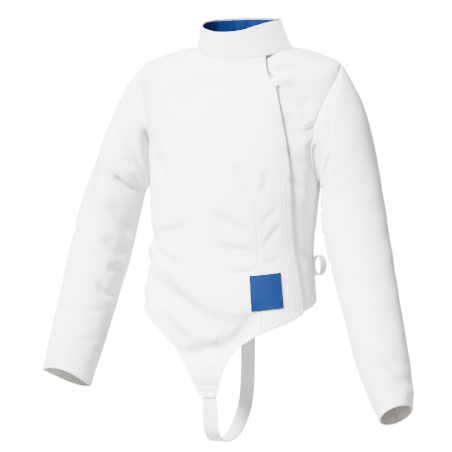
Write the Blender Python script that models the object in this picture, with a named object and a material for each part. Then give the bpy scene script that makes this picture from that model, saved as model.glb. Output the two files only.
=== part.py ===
"""A white fencing jacket, hollow and filled out as if worn, in metres with +Z up.

The wearer faces -Y, and the wearer's left is +X. The origin is the middle of the neck at the
level of the shoulders' highest points. Every cloth piece is a thin wall through a grid of points
that the functions below work out from the tables of sections, so pieces that share a seam follow
one surface and keep a small gap.
"""

import math

import bmesh
import bpy
import numpy as np
from mathutils import Matrix, Vector

NAME = "fencing_jacket"

# Walls and gaps
CLOTH = 0.0020
LINING = 0.0010
WEBBING = 0.0016
LABEL_THICK = 0.0010
SEAM_GAP = 0.0005
ARMHOLE_GAP = 0.0016
LIE_GAP = 0.0003

# The body's sections, from under the crotch to the neck. "level" is the way along the side line
# down from the neck; front, side and back give where the ring meets those lines.
BODY_COLUMNS = "level half_width x_mid y_front y_side y_back z_front z_side z_back square"
BODY_SECTIONS = (
    (-0.680, 0.118, -0.015, -0.128, -0.048, 0.045, -0.605, -0.605, -0.605, 2.10),
    (-0.655, 0.130, -0.015, -0.134, -0.044, 0.055, -0.580, -0.580, -0.580, 2.15),
    (-0.610, 0.143, -0.013, -0.138, -0.038, 0.062, -0.535, -0.535, -0.535, 2.20),
    (-0.560, 0.149, -0.011, -0.139, -0.034, 0.067, -0.485, -0.485, -0.485, 2.25),
    (-0.510, 0.149, -0.009, -0.138, -0.031, 0.069, -0.435, -0.435, -0.435, 2.30),
    (-0.465, 0.145, -0.008, -0.136, -0.029, 0.070, -0.390, -0.390, -0.390, 2.30),
    (-0.415, 0.141, -0.007, -0.133, -0.028, 0.072, -0.340, -0.340, -0.340, 2.30),
    (-0.360, 0.142, -0.005, -0.134, -0.026, 0.082, -0.285, -0.285, -0.285, 2.35),
    (-0.312, 0.145, -0.003, -0.134, -0.023, 0.090, -0.240, -0.237, -0.237, 2.40),
    (-0.250, 0.150, -0.001, -0.129, -0.019, 0.095, -0.188, -0.172, -0.167, 2.40),
    (-0.195, 0.158, 0.000, -0.120, -0.014, 0.096, -0.142, -0.112, -0.102, 2.40),
    (-0.150, 0.170, 0.000, -0.109, -0.006, 0.093, -0.101, -0.060, -0.048, 2.22),
    (-0.118, 0.177, 0.000, -0.098, 0.002, 0.088, -0.070, -0.022, -0.010, 2.05),
    (-0.082, 0.150, 0.000, -0.087, 0.006, 0.079, -0.047, -0.006, 0.004, 2.00),
    (-0.040, 0.110, 0.000, -0.075, 0.004, 0.069, -0.028, 0.007, 0.014, 2.00),
    (0.000, 0.075, 0.000, -0.065, 0.000, 0.060, -0.012, 0.012, 0.020, 2.00),
)
ARMPIT = -0.290
SHOULDER_TIP = -0.118
ARMHOLE_FRONT_LEAN = 28.0
ARMHOLE_BACK_LEAN = 36.0
ARMHOLE_STEPS = 12
SHOULDER_STEPS = 5
SEAM_TURN = math.degrees(SEAM_GAP / 2 / 0.10)
SLEEVE_SEAM_TURN = math.degrees(SEAM_GAP / 2 / 0.045)

# How many grid steps the panels take: up the body, and across it from stop to stop
FRONT_ROWS = 22
FRONT_STEPS = (11, 7, 8)
FRONT_STOPS = (-11.5, 13.5)
LEFT_ROWS = 13
LEFT_STEPS = (3, 2, 8)
BACK_ROWS = 14
BACK_STEPS = (10, 3, 10)
BACK_STOPS = (174.0, 184.0)
SLEEVE_START = (0.0, 0.018, 0.040, 0.066, 0.092)
SLEEVE_REST = 0.115
SLEEVE_ROWS = 17
CUFF_ROWS = 4

# Small differences for the normals, along the first and second of each surface's two directions
BODY_STEP = (0.5, 0.002)
SLEEVE_STEP = (0.001, 1.0)
DENT_STEP = (0.002, 2.0)
COLLAR_STEP = (1.0, 0.02)

# The front hem, by the angle round the body: 0 is the front, 90 the wearer's left
HEM_COLUMNS = "angle level"
FRONT_HEM = (
    (-95.0, -0.504), (-80.0, -0.506), (-68.0, -0.511), (-55.5, -0.519), (-41.5, -0.536),
    (-31.5, -0.554), (-23.5, -0.574), (-16.0, -0.602), (-11.5, -0.622), (-7.5, -0.643),
    (-5.0, -0.650), (0.0, -0.652), (5.5, -0.651), (7.5, -0.640), (10.0, -0.612),
    (12.5, -0.592), (15.5, -0.578), (20.5, -0.564), (28.0, -0.551), (36.0, -0.541),
    (45.5, -0.532), (69.0, -0.512), (80.0, -0.505), (95.0, -0.500),
)
BACK_HEM = ((85.0, -0.500), (120.0, -0.496), (180.0, -0.494), (240.0, -0.498), (275.0, -0.504))

# The edge of the right front where it laps over the left one, and how deep the left lies there
LAP_COLUMNS = "level angle zip under inset"
LAP = (
    (-0.620, 73.0, 66.0, 44.0, 0.0050),
    (-0.510, 69.0, 62.0, 41.0, 0.0050),
    (-0.458, 66.0, 59.0, 39.0, 0.0050),
    (-0.406, 61.0, 54.5, 36.0, 0.0050),
    (-0.364, 56.5, 50.0, 33.0, 0.0052),
    (-0.298, 51.5, 45.5, 29.0, 0.0056),
    (-0.252, 47.5, 42.0, 25.0, 0.0062),
    (-0.206, 41.5, 37.5, 21.0, 0.0072),
    (-0.156, 34.5, 33.0, 17.0, 0.0086),
    (-0.104, 28.5, 30.3, 12.0, 0.0100),
    (-0.072, 29.5, 31.5, 12.0, 0.0100),
    (-0.040, 35.0, 34.0, 14.0, 0.0085),
    (0.000, 47.0, 40.0, 20.0, 0.0060),
)
LAP_FADE = 16.0

# Soft folds: each runs from one angle and level to another, with its sag, width and height
FOLD_COLUMNS = "from_angle from_level to_angle to_level sag width height"
FOLDS = (
    (-62.0, -0.425, 12.0, -0.500, 0.024, 0.015, -0.0044),
    (-58.0, -0.478, -2.0, -0.545, 0.016, 0.013, 0.0036),
    (-34.0, -0.560, 8.0, -0.578, 0.012, 0.013, -0.0046),
    (8.0, -0.578, 34.0, -0.490, 0.006, 0.013, -0.0036),
    (-80.0, -0.362, -30.0, -0.404, 0.008, 0.013, -0.0034),
    (-84.0, -0.412, -48.0, -0.436, 0.006, 0.012, 0.0032),
    (8.0, -0.402, 34.0, -0.410, 0.006, 0.012, -0.0026),
    (40.0, -0.064, 62.0, -0.078, 0.004, 0.012, -0.0030),
    (36.0, -0.100, 60.0, -0.166, 0.006, 0.013, -0.0040),
    (-62.0, -0.190, -38.0, -0.290, 0.010, 0.016, -0.0036),
    (112.0, -0.330, 160.0, -0.372, 0.016, 0.016, -0.0050),
    (198.0, -0.378, 246.0, -0.335, 0.016, 0.016, -0.0050),
    (120.0, -0.412, 172.0, -0.440, 0.014, 0.015, 0.0040),
    (188.0, -0.444, 240.0, -0.416, 0.012, 0.015, 0.0040),
    (122.0, -0.180, 132.0, -0.270, 0.006, 0.016, -0.0040),
    (228.0, -0.270, 238.0, -0.180, 0.006, 0.016, -0.0040),
)
METRES_PER_DEGREE = 0.0024

# The sleeves' rings from the armhole to the cuff, on the wearer's right and left
SLEEVE_COLUMNS = "along inner_x inner_z outer_x outer_z y_mid half_depth front_rise"
RIGHT_SLEEVE = (
    (0.035, 0.156, -0.219, 0.193, -0.047, -0.012, 0.062, 0.000),
    (0.070, 0.161, -0.221, 0.211, -0.082, -0.015, 0.063, 0.000),
    (0.110, 0.164, -0.225, 0.229, -0.124, -0.018, 0.061, 0.002),
    (0.155, 0.171, -0.235, 0.248, -0.176, -0.022, 0.058, 0.004),
    (0.205, 0.176, -0.259, 0.265, -0.222, -0.028, 0.054, 0.006),
    (0.265, 0.183, -0.302, 0.281, -0.276, -0.035, 0.052, 0.008),
    (0.325, 0.193, -0.355, 0.293, -0.337, -0.045, 0.050, 0.010),
    (0.385, 0.206, -0.408, 0.302, -0.396, -0.056, 0.048, 0.012),
    (0.440, 0.218, -0.460, 0.312, -0.451, -0.068, 0.045, 0.012),
    (0.495, 0.231, -0.515, 0.321, -0.504, -0.080, 0.040, 0.010),
    (0.540, 0.247, -0.569, 0.328, -0.549, -0.089, 0.034, 0.009),
)
LEFT_SLEEVE = (
    (0.035, 0.151, -0.218, 0.194, -0.046, -0.012, 0.062, 0.000),
    (0.070, 0.153, -0.220, 0.213, -0.081, -0.015, 0.063, 0.000),
    (0.110, 0.153, -0.225, 0.229, -0.124, -0.018, 0.061, 0.002),
    (0.155, 0.153, -0.238, 0.242, -0.176, -0.023, 0.058, 0.004),
    (0.205, 0.154, -0.264, 0.252, -0.220, -0.028, 0.054, 0.006),
    (0.265, 0.159, -0.301, 0.264, -0.277, -0.036, 0.052, 0.008),
    (0.325, 0.172, -0.346, 0.276, -0.336, -0.046, 0.050, 0.012),
    (0.385, 0.190, -0.400, 0.289, -0.394, -0.058, 0.048, 0.014),
    (0.445, 0.210, -0.457, 0.303, -0.452, -0.074, 0.047, 0.016),
    (0.505, 0.232, -0.522, 0.317, -0.509, -0.088, 0.045, 0.016),
    (0.545, 0.255, -0.573, 0.323, -0.548, -0.096, 0.043, 0.015),
    (0.580, 0.277, -0.611, 0.325, -0.582, -0.104, 0.040, 0.014),
)
# Bends and dents across a sleeve: middle and reach along it, middle and reach round it, height
DENT_COLUMNS = "along reach turn spread height"
RIGHT_DENTS = (
    (0.270, 0.012, 20.0, 60.0, -0.0030),
    (0.300, 0.012, 150.0, 60.0, -0.0040),
    (0.345, 0.012, 130.0, 55.0, 0.0030),
    (0.150, 0.018, 120.0, 45.0, -0.0040),
    (0.320, 0.012, -110.0, 60.0, -0.0036),
    (0.185, 0.020, -100.0, 50.0, -0.0036),
    (0.475, 0.010, 60.0, 70.0, -0.0026),
)
LEFT_DENTS = (
    (0.285, 0.012, 30.0, 60.0, -0.0030),
    (0.310, 0.012, 150.0, 60.0, -0.0036),
    (0.520, 0.010, 40.0, 70.0, -0.0036),
    (0.150, 0.018, 110.0, 45.0, -0.0036),
    (0.325, 0.012, -110.0, 60.0, -0.0036),
    (0.185, 0.020, -100.0, 50.0, -0.0036),
)
UPPER_TURNS = (-105.0, 120.0)
RIGHT_CUFF_SEAM = 0.490
LEFT_CUFF_SEAM = 0.530

# The collar: it winds from under the lap, round the back, to the free end of the tab
COLLAR_COLUMNS = "angle lift top out_base out_top"
COLLAR = (
    (22.0, 0.0040, 0.034, -0.0052, -0.0052),
    (60.0, 0.0012, 0.043, -0.0052, -0.0048),
    (100.0, 0.0006, 0.058, -0.0020, -0.0050),
    (150.0, 0.0006, 0.063, 0.0000, -0.0060),
    (210.0, 0.0006, 0.063, 0.0000, -0.0060),
    (265.0, 0.0006, 0.056, 0.0000, -0.0070),
    (310.0, 0.0006, 0.042, 0.0000, -0.0040),
    (345.0, 0.0006, 0.034, 0.0000, -0.0010),
    (375.0, 0.0006, 0.036, 0.0004, 0.0010),
    (400.0, 0.0010, 0.047, 0.0016, 0.0030),
    (425.0, 0.0030, 0.057, 0.0080, 0.0100),
    (438.0, 0.0050, 0.060, 0.0190, 0.0150),
)
COLLAR_END_SLANT = 10.0
LINING_TURNS = (30.0, 398.0)
COLLAR_ANGLES = np.linspace(COLLAR[0][0], COLLAR[-1][0], 53)
COLLAR_ROWS = 5
LINING_HEIGHTS = (0.04, 0.93)
LINING_ROWS = 3
NECK_HALF_WIDTH = 0.075
NECK_FRONT = 0.065
NECK_BACK = 0.060

# The elastic that passes between the legs. It is sewn inside the point of the front and inside the
# back hem, on the panels' own rows and columns, and its free part follows the table.
STRAP_WIDTH = 0.026
STRAP_STEPS = 34
STRAP_FRONT = (slice(3, None, -1), slice(13, 17))
STRAP_BACK = (slice(0, 3), slice(13, 9, -1))
STRAP_COLUMNS = "x y z"
STRAP_PATH = (
    (-0.0122, -0.1310, -0.5960),
    (-0.0120, -0.1255, -0.6280),
    (-0.0120, -0.1120, -0.6450),
    (-0.0115, -0.0900, -0.6553),
    (-0.0110, -0.0630, -0.6593),
    (-0.0100, -0.0330, -0.6578),
    (-0.0090, -0.0070, -0.6517),
    (-0.0080, 0.0200, -0.6368),
    (-0.0068, 0.0436, -0.6135),
    (-0.0064, 0.0548, -0.5850),
    (-0.0064, 0.0598, -0.5500),
    (-0.0064, 0.0608, -0.5000),
    (-0.0064, 0.0628, -0.4520),
)

# The label, the side loop and the zip
LABEL_ANGLES = (26.0, 48.0)
LABEL_LEVELS = (-0.503, -0.444)
LOOP_ANGLE = 96.0
LOOP_Z = -0.359
LOOP_LEVEL = -0.434
LOOP_COLUMNS = 24
LOOP_TALL = 0.036
LOOP_PROUD = 0.015
LOOP_WIDE = 0.014
ZIP_LEVELS = (-0.500, -0.060)
ZIP_HALF_TURN = 2.4
ZIP_TAPE = 0.0010
SLIDER_LEVEL = -0.098
SLIDER_WIDE = 0.0066
SLIDER_LONG = 0.0096
SLIDER_THICK = 0.0022
SLIDER_SEAT = ZIP_TAPE + 3 * LIE_GAP
BRIDGE_WIDE = 0.0016
BRIDGE_LONG = 0.0064
BRIDGE_BAR = 0.0008
BRIDGE_SINK = 0.0002
BRIDGE_WINDOW = (0.0046, 0.0021)
PIVOT_HEIGHT = SLIDER_SEAT + SLIDER_THICK + BRIDGE_WINDOW[1] / 2
PULL_LENGTH = 0.0125
PULL_WIDTH = 0.0046
PULL_THICK = 0.0010
PULL_BAR = 0.0010
PULL_EYE = (0.0024, 0.0033)

# Colours, as linear red, green and blue
WHITE = (0.86, 0.86, 0.87)
WARM_WHITE = (0.80, 0.79, 0.76)
BLUE = (0.012, 0.085, 0.36)
LABEL_BLUE = (0.010, 0.055, 0.30)


def columns(names, rows):
    """A table as a dictionary of one array for each named column."""
    return dict(zip(names.split(), np.array(rows, float).T))


def curve_through(at, places, values):
    """The values at any place, on a smooth cubic curve through the table's own points."""
    at = np.clip(at, places[0], places[-1])
    slope = np.gradient(values, places)
    step = np.diff(places)
    i = np.clip(np.searchsorted(places, at, side="right") - 1, 0, len(step) - 1)
    t = (at - places[i]) / step[i]
    stay, rise = 1 - t, t
    return (
        (1 + 2 * t) * stay**2 * values[i]
        + rise**2 * (3 - 2 * t) * values[i + 1]
        + step[i] * (t * stay**2 * slope[i] - rise**2 * stay * slope[i + 1])
    )


def steady(at, places, values):
    """Straight lines through the table's points."""
    return np.interp(at, places, values)


def ease(t):
    """A smooth step from 0 to 1."""
    t = np.clip(t, 0.0, 1.0)
    return t * t * (3 - 2 * t)


BODY = columns(BODY_COLUMNS, BODY_SECTIONS)
LAPS = columns(LAP_COLUMNS, LAP)


def body_base(angle, level):
    """The body without folds: at each level a squared ellipse, its front and back at their own heights."""
    ring = {name: curve_through(level, BODY["level"], BODY[name]) for name in BODY}
    side, front = np.sin(np.radians(angle)), np.cos(np.radians(angle))
    power = ring["square"]
    reach = (np.abs(side) ** power + np.abs(front) ** power) ** (-1 / power)
    ahead = front > 0
    depth = np.where(ahead, ring["y_side"] - ring["y_front"], ring["y_back"] - ring["y_side"])
    z_end = np.where(ahead, ring["z_front"], ring["z_back"])
    return np.stack(
        [
            ring["x_mid"] + ring["half_width"] * side * reach,
            ring["y_side"] - depth * front * reach,
            ring["z_side"] + (z_end - ring["z_side"]) * front**2,
        ],
        axis=-1,
    )


def normals_of(surface, first, second, step, outward=1.0):
    """Unit normals of surface(first, second) by small differences, on the side that outward gives."""
    along_first = surface(first + step[0], second) - surface(first - step[0], second)
    along_second = surface(first, second + step[1]) - surface(first, second - step[1])
    normal = np.cross(along_first, along_second) * outward
    return normal / np.linalg.norm(normal, axis=-1, keepdims=True)


def fold_height(angle, level):
    """The sum of the folds: each is a soft ridge or trough along a sagging line, fading at its ends."""
    folds = columns(FOLD_COLUMNS, FOLDS)
    height = np.zeros(np.broadcast(angle, level).shape)
    for k in range(len(FOLDS)):
        fold = {name: folds[name][k] for name in folds}
        run = np.array(
            [
                (fold["to_angle"] - fold["from_angle"]) * METRES_PER_DEGREE,
                fold["to_level"] - fold["from_level"],
            ]
        )
        length = math.hypot(*run)
        run /= length
        across = (angle - fold["from_angle"] + 180) % 360 - 180
        x, y = across * METRES_PER_DEGREE, level - fold["from_level"]
        t = (x * run[0] + y * run[1]) / length
        bow = fold["sag"] * 4 * np.clip(t, 0, 1) * (1 - np.clip(t, 0, 1))
        off = (-x * run[1] + y * run[0]) * np.sign(run[0]) + bow
        fade = np.exp(-np.clip(np.abs(t - 0.5) * 2 - 0.4, 0, None) ** 2 / 0.18)
        height = height + fold["height"] * np.exp(-((off / fold["width"]) ** 2)) * fade
    return height


def body(angle, level):
    """The outer surface of the jacket's body with its folds."""
    out = normals_of(body_base, angle, level, BODY_STEP)
    return body_base(angle, level) + out * fold_height(angle, level)[..., None]


def left_surface(angle, level):
    """The left front: it lies deeper under the lap and rises to the body's surface beside it."""
    lap_edge = curve_through(level, LAPS["level"], LAPS["angle"])
    inset = curve_through(level, LAPS["level"], LAPS["inset"])
    rise = 1 - ease((angle - lap_edge) / LAP_FADE)
    out = normals_of(body_base, angle, level, BODY_STEP)
    return body(angle, level) - out * (inset * rise)[..., None]


def armhole_lean(level):
    """0 at the armpit and at the shoulder tip and 1 between them."""
    share = np.clip((level - ARMPIT) / (SHOULDER_TIP - ARMPIT), 0, 1)
    return np.sin(np.arccos(1 - 2 * share))


def wall(outer, normal, thickness, wrap=False):
    """Points and faces of a closed wall: the outer grid, and an inner one moved in along the normals."""
    rows, across = outer.shape[:2]
    inner = outer - normal * thickness
    points = np.concatenate([outer.reshape(-1, 3), inner.reshape(-1, 3)])
    index = np.arange(rows * across).reshape(rows, across)
    if wrap:
        index = np.concatenate([index, index[:, :1]], axis=1)
    a, b = index[:-1, :-1], index[:-1, 1:]
    c, d = index[1:, 1:], index[1:, :-1]
    skin = np.stack([a, b, c, d], -1).reshape(-1, 4)
    under = skin[:, ::-1] + rows * across
    edges = [index[0, ::-1], index[-1]]
    if not wrap:
        edges += [index[:, 0], index[::-1, -1]]
    rims = []
    for edge in edges:
        p, q = edge[:-1], edge[1:]
        rims.append(np.stack([q, p, p + rows * across, q + rows * across], -1))
    return points, np.concatenate([skin, under] + [rim[:, ::-1] for rim in rims])


def material(name, colour, roughness, metallic=0.0):
    """A plain material of one colour."""
    made = bpy.data.materials.get(name) or bpy.data.materials.new(name)
    made.use_nodes = True
    shader = made.node_tree.nodes["Principled BSDF"]
    shader.inputs["Base Color"].default_value = (*colour, 1.0)
    shader.inputs["Roughness"].default_value = roughness
    shader.inputs["Metallic"].default_value = metallic
    return made


def add_object(name, mesh, finish):
    """Puts a mesh into the jacket's collection as one named piece."""
    piece = bpy.data.objects.new(name, mesh)
    piece.data.materials.append(finish)
    bpy.data.collections[NAME].objects.link(piece)
    return piece


def cloth_piece(name, outer, normal, thickness, finish, wrap=False):
    """One cut piece of cloth, as a closed wall whose faces point out."""
    points, faces = wall(outer, normal, thickness, wrap)
    mesh = bpy.data.meshes.new(name)
    mesh.from_pydata(points.tolist(), [], faces.tolist())
    shape = bmesh.new()
    shape.from_mesh(mesh)
    bmesh.ops.recalc_face_normals(shape, faces=shape.faces)
    if shape.calc_volume(signed=True) < 0:
        bmesh.ops.reverse_faces(shape, faces=shape.faces)
    shape.to_mesh(mesh)
    shape.free()
    mesh.shade_smooth()
    mesh.set_sharp_from_angle(angle=math.radians(50))
    return add_object(name, mesh, finish)


def panel_rows(angle_of, hem, below):
    """Angles and levels of a front or back panel's grid.

    Rows below the armpit run evenly from the hem, which has its own level at each angle. Rows
    from the armpit to the shoulder tip close up at both ends, as the armhole turns there.
    """
    hem = columns(HEM_COLUMNS, hem)
    share = np.linspace(0, 1, below + 1)[:, None]
    level = np.full((below + 1, 1), ARMPIT - 0.1) + 0.0 * share
    for _ in range(6):
        angle = angle_of(level)
        start = steady(angle, hem["angle"], hem["level"])
        level = start + (ARMPIT - start) * share
    turn = np.linspace(0, np.pi, ARMHOLE_STEPS + 1)[1:, None]
    side = ARMPIT + (SHOULDER_TIP - ARMPIT) * (1 - np.cos(turn)) / 2
    top = np.linspace(SHOULDER_TIP, -SEAM_GAP, SHOULDER_STEPS + 1)[1:, None]
    upper = np.concatenate([side, top])
    angles = np.concatenate([angle_of(level), angle_of(upper + 0.0 * level[:1])])
    levels = np.concatenate([level, upper + 0.0 * level[:1]])
    return angles, levels


def front_edge(level):
    """The angle of a front's outer edge: the side seam, the armhole, then the shoulder seam."""
    return 90 - ARMHOLE_FRONT_LEAN * armhole_lean(level) - SEAM_TURN


def back_edge(level):
    """The angle of the back's edge on one side, from the middle of the front."""
    return 90 + ARMHOLE_BACK_LEAN * armhole_lean(level) + SEAM_TURN


def between(stops, steps, level):
    """The angle of every column of a grid: the given number of even steps from each stop to the next."""
    gap = np.repeat(np.arange(len(steps)), steps)
    share = np.concatenate([np.arange(count) / count for count in steps])
    gap, share = np.append(gap, len(steps) - 1), np.append(share, 1.0)
    shape = np.broadcast(level, share).shape
    stops = [np.broadcast_to(stop, shape) for stop in stops]
    low, high = np.choose(gap, stops[:-1]), np.choose(gap, stops[1:])
    return low + (high - low) * share


def right_grid():
    """The right front's angles and levels, from its side seam to the lap's edge."""

    def angle_of(level):
        lap_edge = curve_through(level, LAPS["level"], LAPS["angle"])
        return between([-front_edge(level), *FRONT_STOPS, lap_edge], FRONT_STEPS, level)

    return panel_rows(angle_of, FRONT_HEM, FRONT_ROWS)


def right_front(finish):
    """The outer front: across the whole chest to the lap's edge, with the point between the legs."""
    angle, level = right_grid()
    normal = normals_of(body, angle, level, BODY_STEP)
    return cloth_piece("right_front", body(angle, level), normal, CLOTH, finish)


def left_grid():
    """The left front's angles and levels: three columns, then two under the zip, then eight."""

    def angle_of(level):
        under = curve_through(level, LAPS["level"], LAPS["under"])
        middle = curve_through(level, LAPS["level"], LAPS["zip"])
        stops = [under, middle - ZIP_HALF_TURN, middle + ZIP_HALF_TURN, front_edge(level)]
        return between(stops, LEFT_STEPS, level)

    return panel_rows(angle_of, FRONT_HEM, LEFT_ROWS)


def left_front(finish):
    """The under front, from beneath the lap to the wearer's left side seam and armhole."""
    angle, level = left_grid()
    normal = normals_of(left_surface, angle, level, BODY_STEP)
    return cloth_piece("left_front", left_surface(angle, level), normal, CLOTH, finish)


def back_grid():
    """The back's angles and levels, from the wearer's left side seam to the right one."""

    def angle_of(level):
        return between([back_edge(level), *BACK_STOPS, 360 - back_edge(level)], BACK_STEPS, level)

    return panel_rows(angle_of, BACK_HEM, BACK_ROWS)


def back(finish):
    """The back, in one piece from side seam to side seam."""
    angle, level = back_grid()
    normal = normals_of(body, angle, level, BODY_STEP)
    return cloth_piece("back", body(angle, level), normal, CLOTH, finish)


def sleeve_surface(side):
    """A function of the way along the sleeve and the turn round it.

    The turn is 0 on the outer side, 90 in front and 180 on the inner side. Each turn has its own
    smooth track from the armhole through the table's rings, so the tube grows out of the body.
    """
    rings = columns(SLEEVE_COLUMNS, RIGHT_SLEEVE if side < 0 else LEFT_SLEEVE)
    dents = columns(DENT_COLUMNS, RIGHT_DENTS if side < 0 else LEFT_DENTS)
    places = np.concatenate([[0.0], rings["along"]])

    def armhole(turn):
        ahead = np.sin(np.radians(turn)) >= 0
        level = ARMPIT + (SHOULDER_TIP - ARMPIT) * (1 + np.cos(np.radians(turn))) / 2
        lean = armhole_lean(level)
        angle = np.where(ahead, 90 - ARMHOLE_FRONT_LEAN * lean, 90 + ARMHOLE_BACK_LEAN * lean)
        return body(side * angle, level) + np.array([side * ARMHOLE_GAP, 0.0, 0.0])

    def smooth_tube(along, turn):
        along, turn = np.broadcast_arrays(np.asarray(along, float), np.asarray(turn, float))
        out, ahead = np.cos(np.radians(turn)), np.sin(np.radians(turn))
        track = [armhole(turn)]
        for k in range(len(rings["along"])):
            ring = {name: rings[name][k] for name in rings}
            x = ring["inner_x"] + (ring["outer_x"] - ring["inner_x"]) * (1 + out) / 2
            z = ring["inner_z"] + (ring["outer_z"] - ring["inner_z"]) * (1 + out) / 2
            y = ring["y_mid"] - ring["half_depth"] * ahead
            track.append(np.stack([side * x, y, z + ring["front_rise"] * ahead], -1))
        track = np.stack(track)
        slope = np.gradient(track, places, axis=0)
        step = np.diff(places)
        i = np.clip(np.searchsorted(places, along, side="right") - 1, 0, len(step) - 1)
        t = ((along - places[i]) / step[i])[..., None]
        pick = tuple(np.indices(along.shape))
        low, high = track[(i, *pick)], track[(i + 1, *pick)]
        low_slope, high_slope = slope[(i, *pick)], slope[(i + 1, *pick)]
        width = step[i][..., None]
        return (
            (1 + 2 * t) * (1 - t) ** 2 * low
            + t**2 * (3 - 2 * t) * high
            + width * (t * (1 - t) ** 2 * low_slope - t**2 * (1 - t) * high_slope)
        )

    def dented_tube(along, turn):
        along, turn = np.broadcast_arrays(np.asarray(along, float), np.asarray(turn, float))
        out = normals_of(smooth_tube, along, turn, DENT_STEP, side)
        height = np.zeros(along.shape)
        for k in range(len(dents["along"])):
            off = (along - dents["along"][k]) / dents["reach"][k]
            turned = ((turn - dents["turn"][k] + 180) % 360 - 180) / dents["spread"][k]
            height = height + dents["height"][k] * np.exp(-(off**2) - turned**2)
        return smooth_tube(along, turn) + out * height[..., None]

    return dented_tube


def sleeve_panel(name, side, along, turns, finish):
    """One panel of a sleeve between two turns, with a row at each of the places along it."""
    surface = sleeve_surface(side)
    along = np.asarray(along)[:, None]
    turn = np.asarray(turns)[None, :]
    normal = normals_of(surface, along + 0 * turn, turn + 0 * along, SLEEVE_STEP, side)
    return cloth_piece(name, surface(along, turn), normal, CLOTH, finish)


def sleeve(side, finish):
    """A two-piece sleeve: the upper piece, the under piece and the cuff piece below that."""
    hand = "right" if side < 0 else "left"
    rings = RIGHT_SLEEVE if side < 0 else LEFT_SLEEVE
    end = rings[-1][0]
    seam = RIGHT_CUFF_SEAM if side < 0 else LEFT_CUFF_SEAM
    rest = np.concatenate([SLEEVE_START, np.linspace(SLEEVE_REST, seam, SLEEVE_ROWS)])
    cuff = np.linspace(seam, end, CUFF_ROWS)[1:]
    step = 180 / ARMHOLE_STEPS
    upper = np.arange(UPPER_TURNS[0], UPPER_TURNS[1] + step / 2, step)
    under = np.arange(UPPER_TURNS[1], UPPER_TURNS[0] + 360 + step / 2, step)
    upper[[0, -1]] += SLEEVE_SEAM_TURN, -SLEEVE_SEAM_TURN
    under[[0, -1]] += SLEEVE_SEAM_TURN, -SLEEVE_SEAM_TURN
    sleeve_panel(f"{hand}_sleeve_upper", side, np.concatenate([rest, cuff]), upper, finish)
    sleeve_panel(f"{hand}_sleeve_under", side, rest, under, finish)
    below = np.concatenate([[seam + SEAM_GAP], cuff])
    sleeve_panel(f"{hand}_cuff", side, below, under, finish)


def collar_surface(angle, height):
    """The collar: height runs from 0 at its seam to 1 at its rim."""
    collar = columns(COLLAR_COLUMNS, COLLAR)
    row = {name: curve_through(angle, collar["angle"], collar[name]) for name in collar}
    side, front = np.sin(np.radians(angle)), np.cos(np.radians(angle))
    out = row["out_base"] + (row["out_top"] - row["out_base"]) * height
    depth = np.where(front > 0, NECK_FRONT, NECK_BACK)
    base = body_base(angle, 0.0 * angle)[..., 2] + row["lift"]
    return np.stack(
        [
            (NECK_HALF_WIDTH + out) * side,
            -(depth + out) * front,
            base + (row["top"] - base) * height,
        ],
        axis=-1,
    )


def collar_grid(angles, heights, rows):
    """Angles and heights over a stretch of the collar; past the lining its end slants back."""
    angle = np.asarray(angles)[None, :]
    height = np.linspace(*heights, rows)[:, None]
    past = np.clip((angle - LINING_TURNS[1]) / (COLLAR[-1][0] - LINING_TURNS[1]), 0, 1)
    return angle - COLLAR_END_SLANT * past * height, height + 0 * angle


def collar(finish):
    """The collar's outer cloth, with the tab that laps over its own beginning."""
    angle, height = collar_grid(COLLAR_ANGLES, (0.0, 1.0), COLLAR_ROWS)
    normal = normals_of(collar_surface, angle, height, COLLAR_STEP)
    return cloth_piece("collar", collar_surface(angle, height), normal, CLOTH, finish)


def collar_lining(finish):
    """The blue lining inside the collar."""
    inside = (COLLAR_ANGLES >= LINING_TURNS[0]) & (COLLAR_ANGLES <= LINING_TURNS[1])
    angle, height = collar_grid(COLLAR_ANGLES[inside], LINING_HEIGHTS, LINING_ROWS)
    normal = normals_of(collar_surface, angle, height, COLLAR_STEP)
    surface = collar_surface(angle, height) - normal * (CLOTH + LIE_GAP)
    return cloth_piece("collar_lining", surface, normal, LINING, finish)


def sewn_inside(grid, part_of_grid):
    """Part of a panel's own points, moved in so that what is sewn there lies on its inner face."""
    angle, level = (values[part_of_grid] for values in grid)
    normal = normals_of(body, angle, level, BODY_STEP)
    return body(angle, level) - normal * (CLOTH + LIE_GAP)


def strap(finish):
    """The elastic strap: both ends lie inside the panels, and a smooth curve joins them."""
    path = np.array(STRAP_PATH)[:, None, :]
    front = sewn_inside(right_grid(), STRAP_FRONT)
    rear = sewn_inside(back_grid(), STRAP_BACK)
    shares = np.linspace(-0.5, 0.5, front.shape[1])[None, :, None]
    free = path + shares * STRAP_WIDTH * np.array([1.0, 0.0, 0.0])
    rows = np.concatenate([front, free, rear])
    knots = np.arange(len(rows), dtype=float)
    first, last = len(front) - 1, len(front) + len(free)
    at = np.concatenate([knots[:first], np.linspace(first, last, STRAP_STEPS + 1), knots[last + 1 :]])
    flat = rows.reshape(len(rows), -1).T
    surface = np.stack([curve_through(at, knots, track) for track in flat], -1)
    surface = surface.reshape(len(at), -1, 3)
    down, across = np.gradient(surface, axis=(0, 1))
    normal = np.cross(down, across)
    normal /= np.linalg.norm(normal, axis=-1, keepdims=True)
    return cloth_piece("crotch_strap", surface, normal, WEBBING, finish)


def label(finish):
    """The plain woven label, a patch of the right front's own points moved out."""
    angle = np.linspace(*LABEL_ANGLES, 7)[None, :] + np.zeros((7, 1))
    level = np.linspace(*LABEL_LEVELS, 7)[:, None] + np.zeros((1, 7))
    normal = normals_of(body, angle, level, BODY_STEP)
    surface = body(angle, level) + normal * (2 * LIE_GAP + LABEL_THICK)
    return cloth_piece("label", surface, normal, LABEL_THICK, finish)


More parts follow.
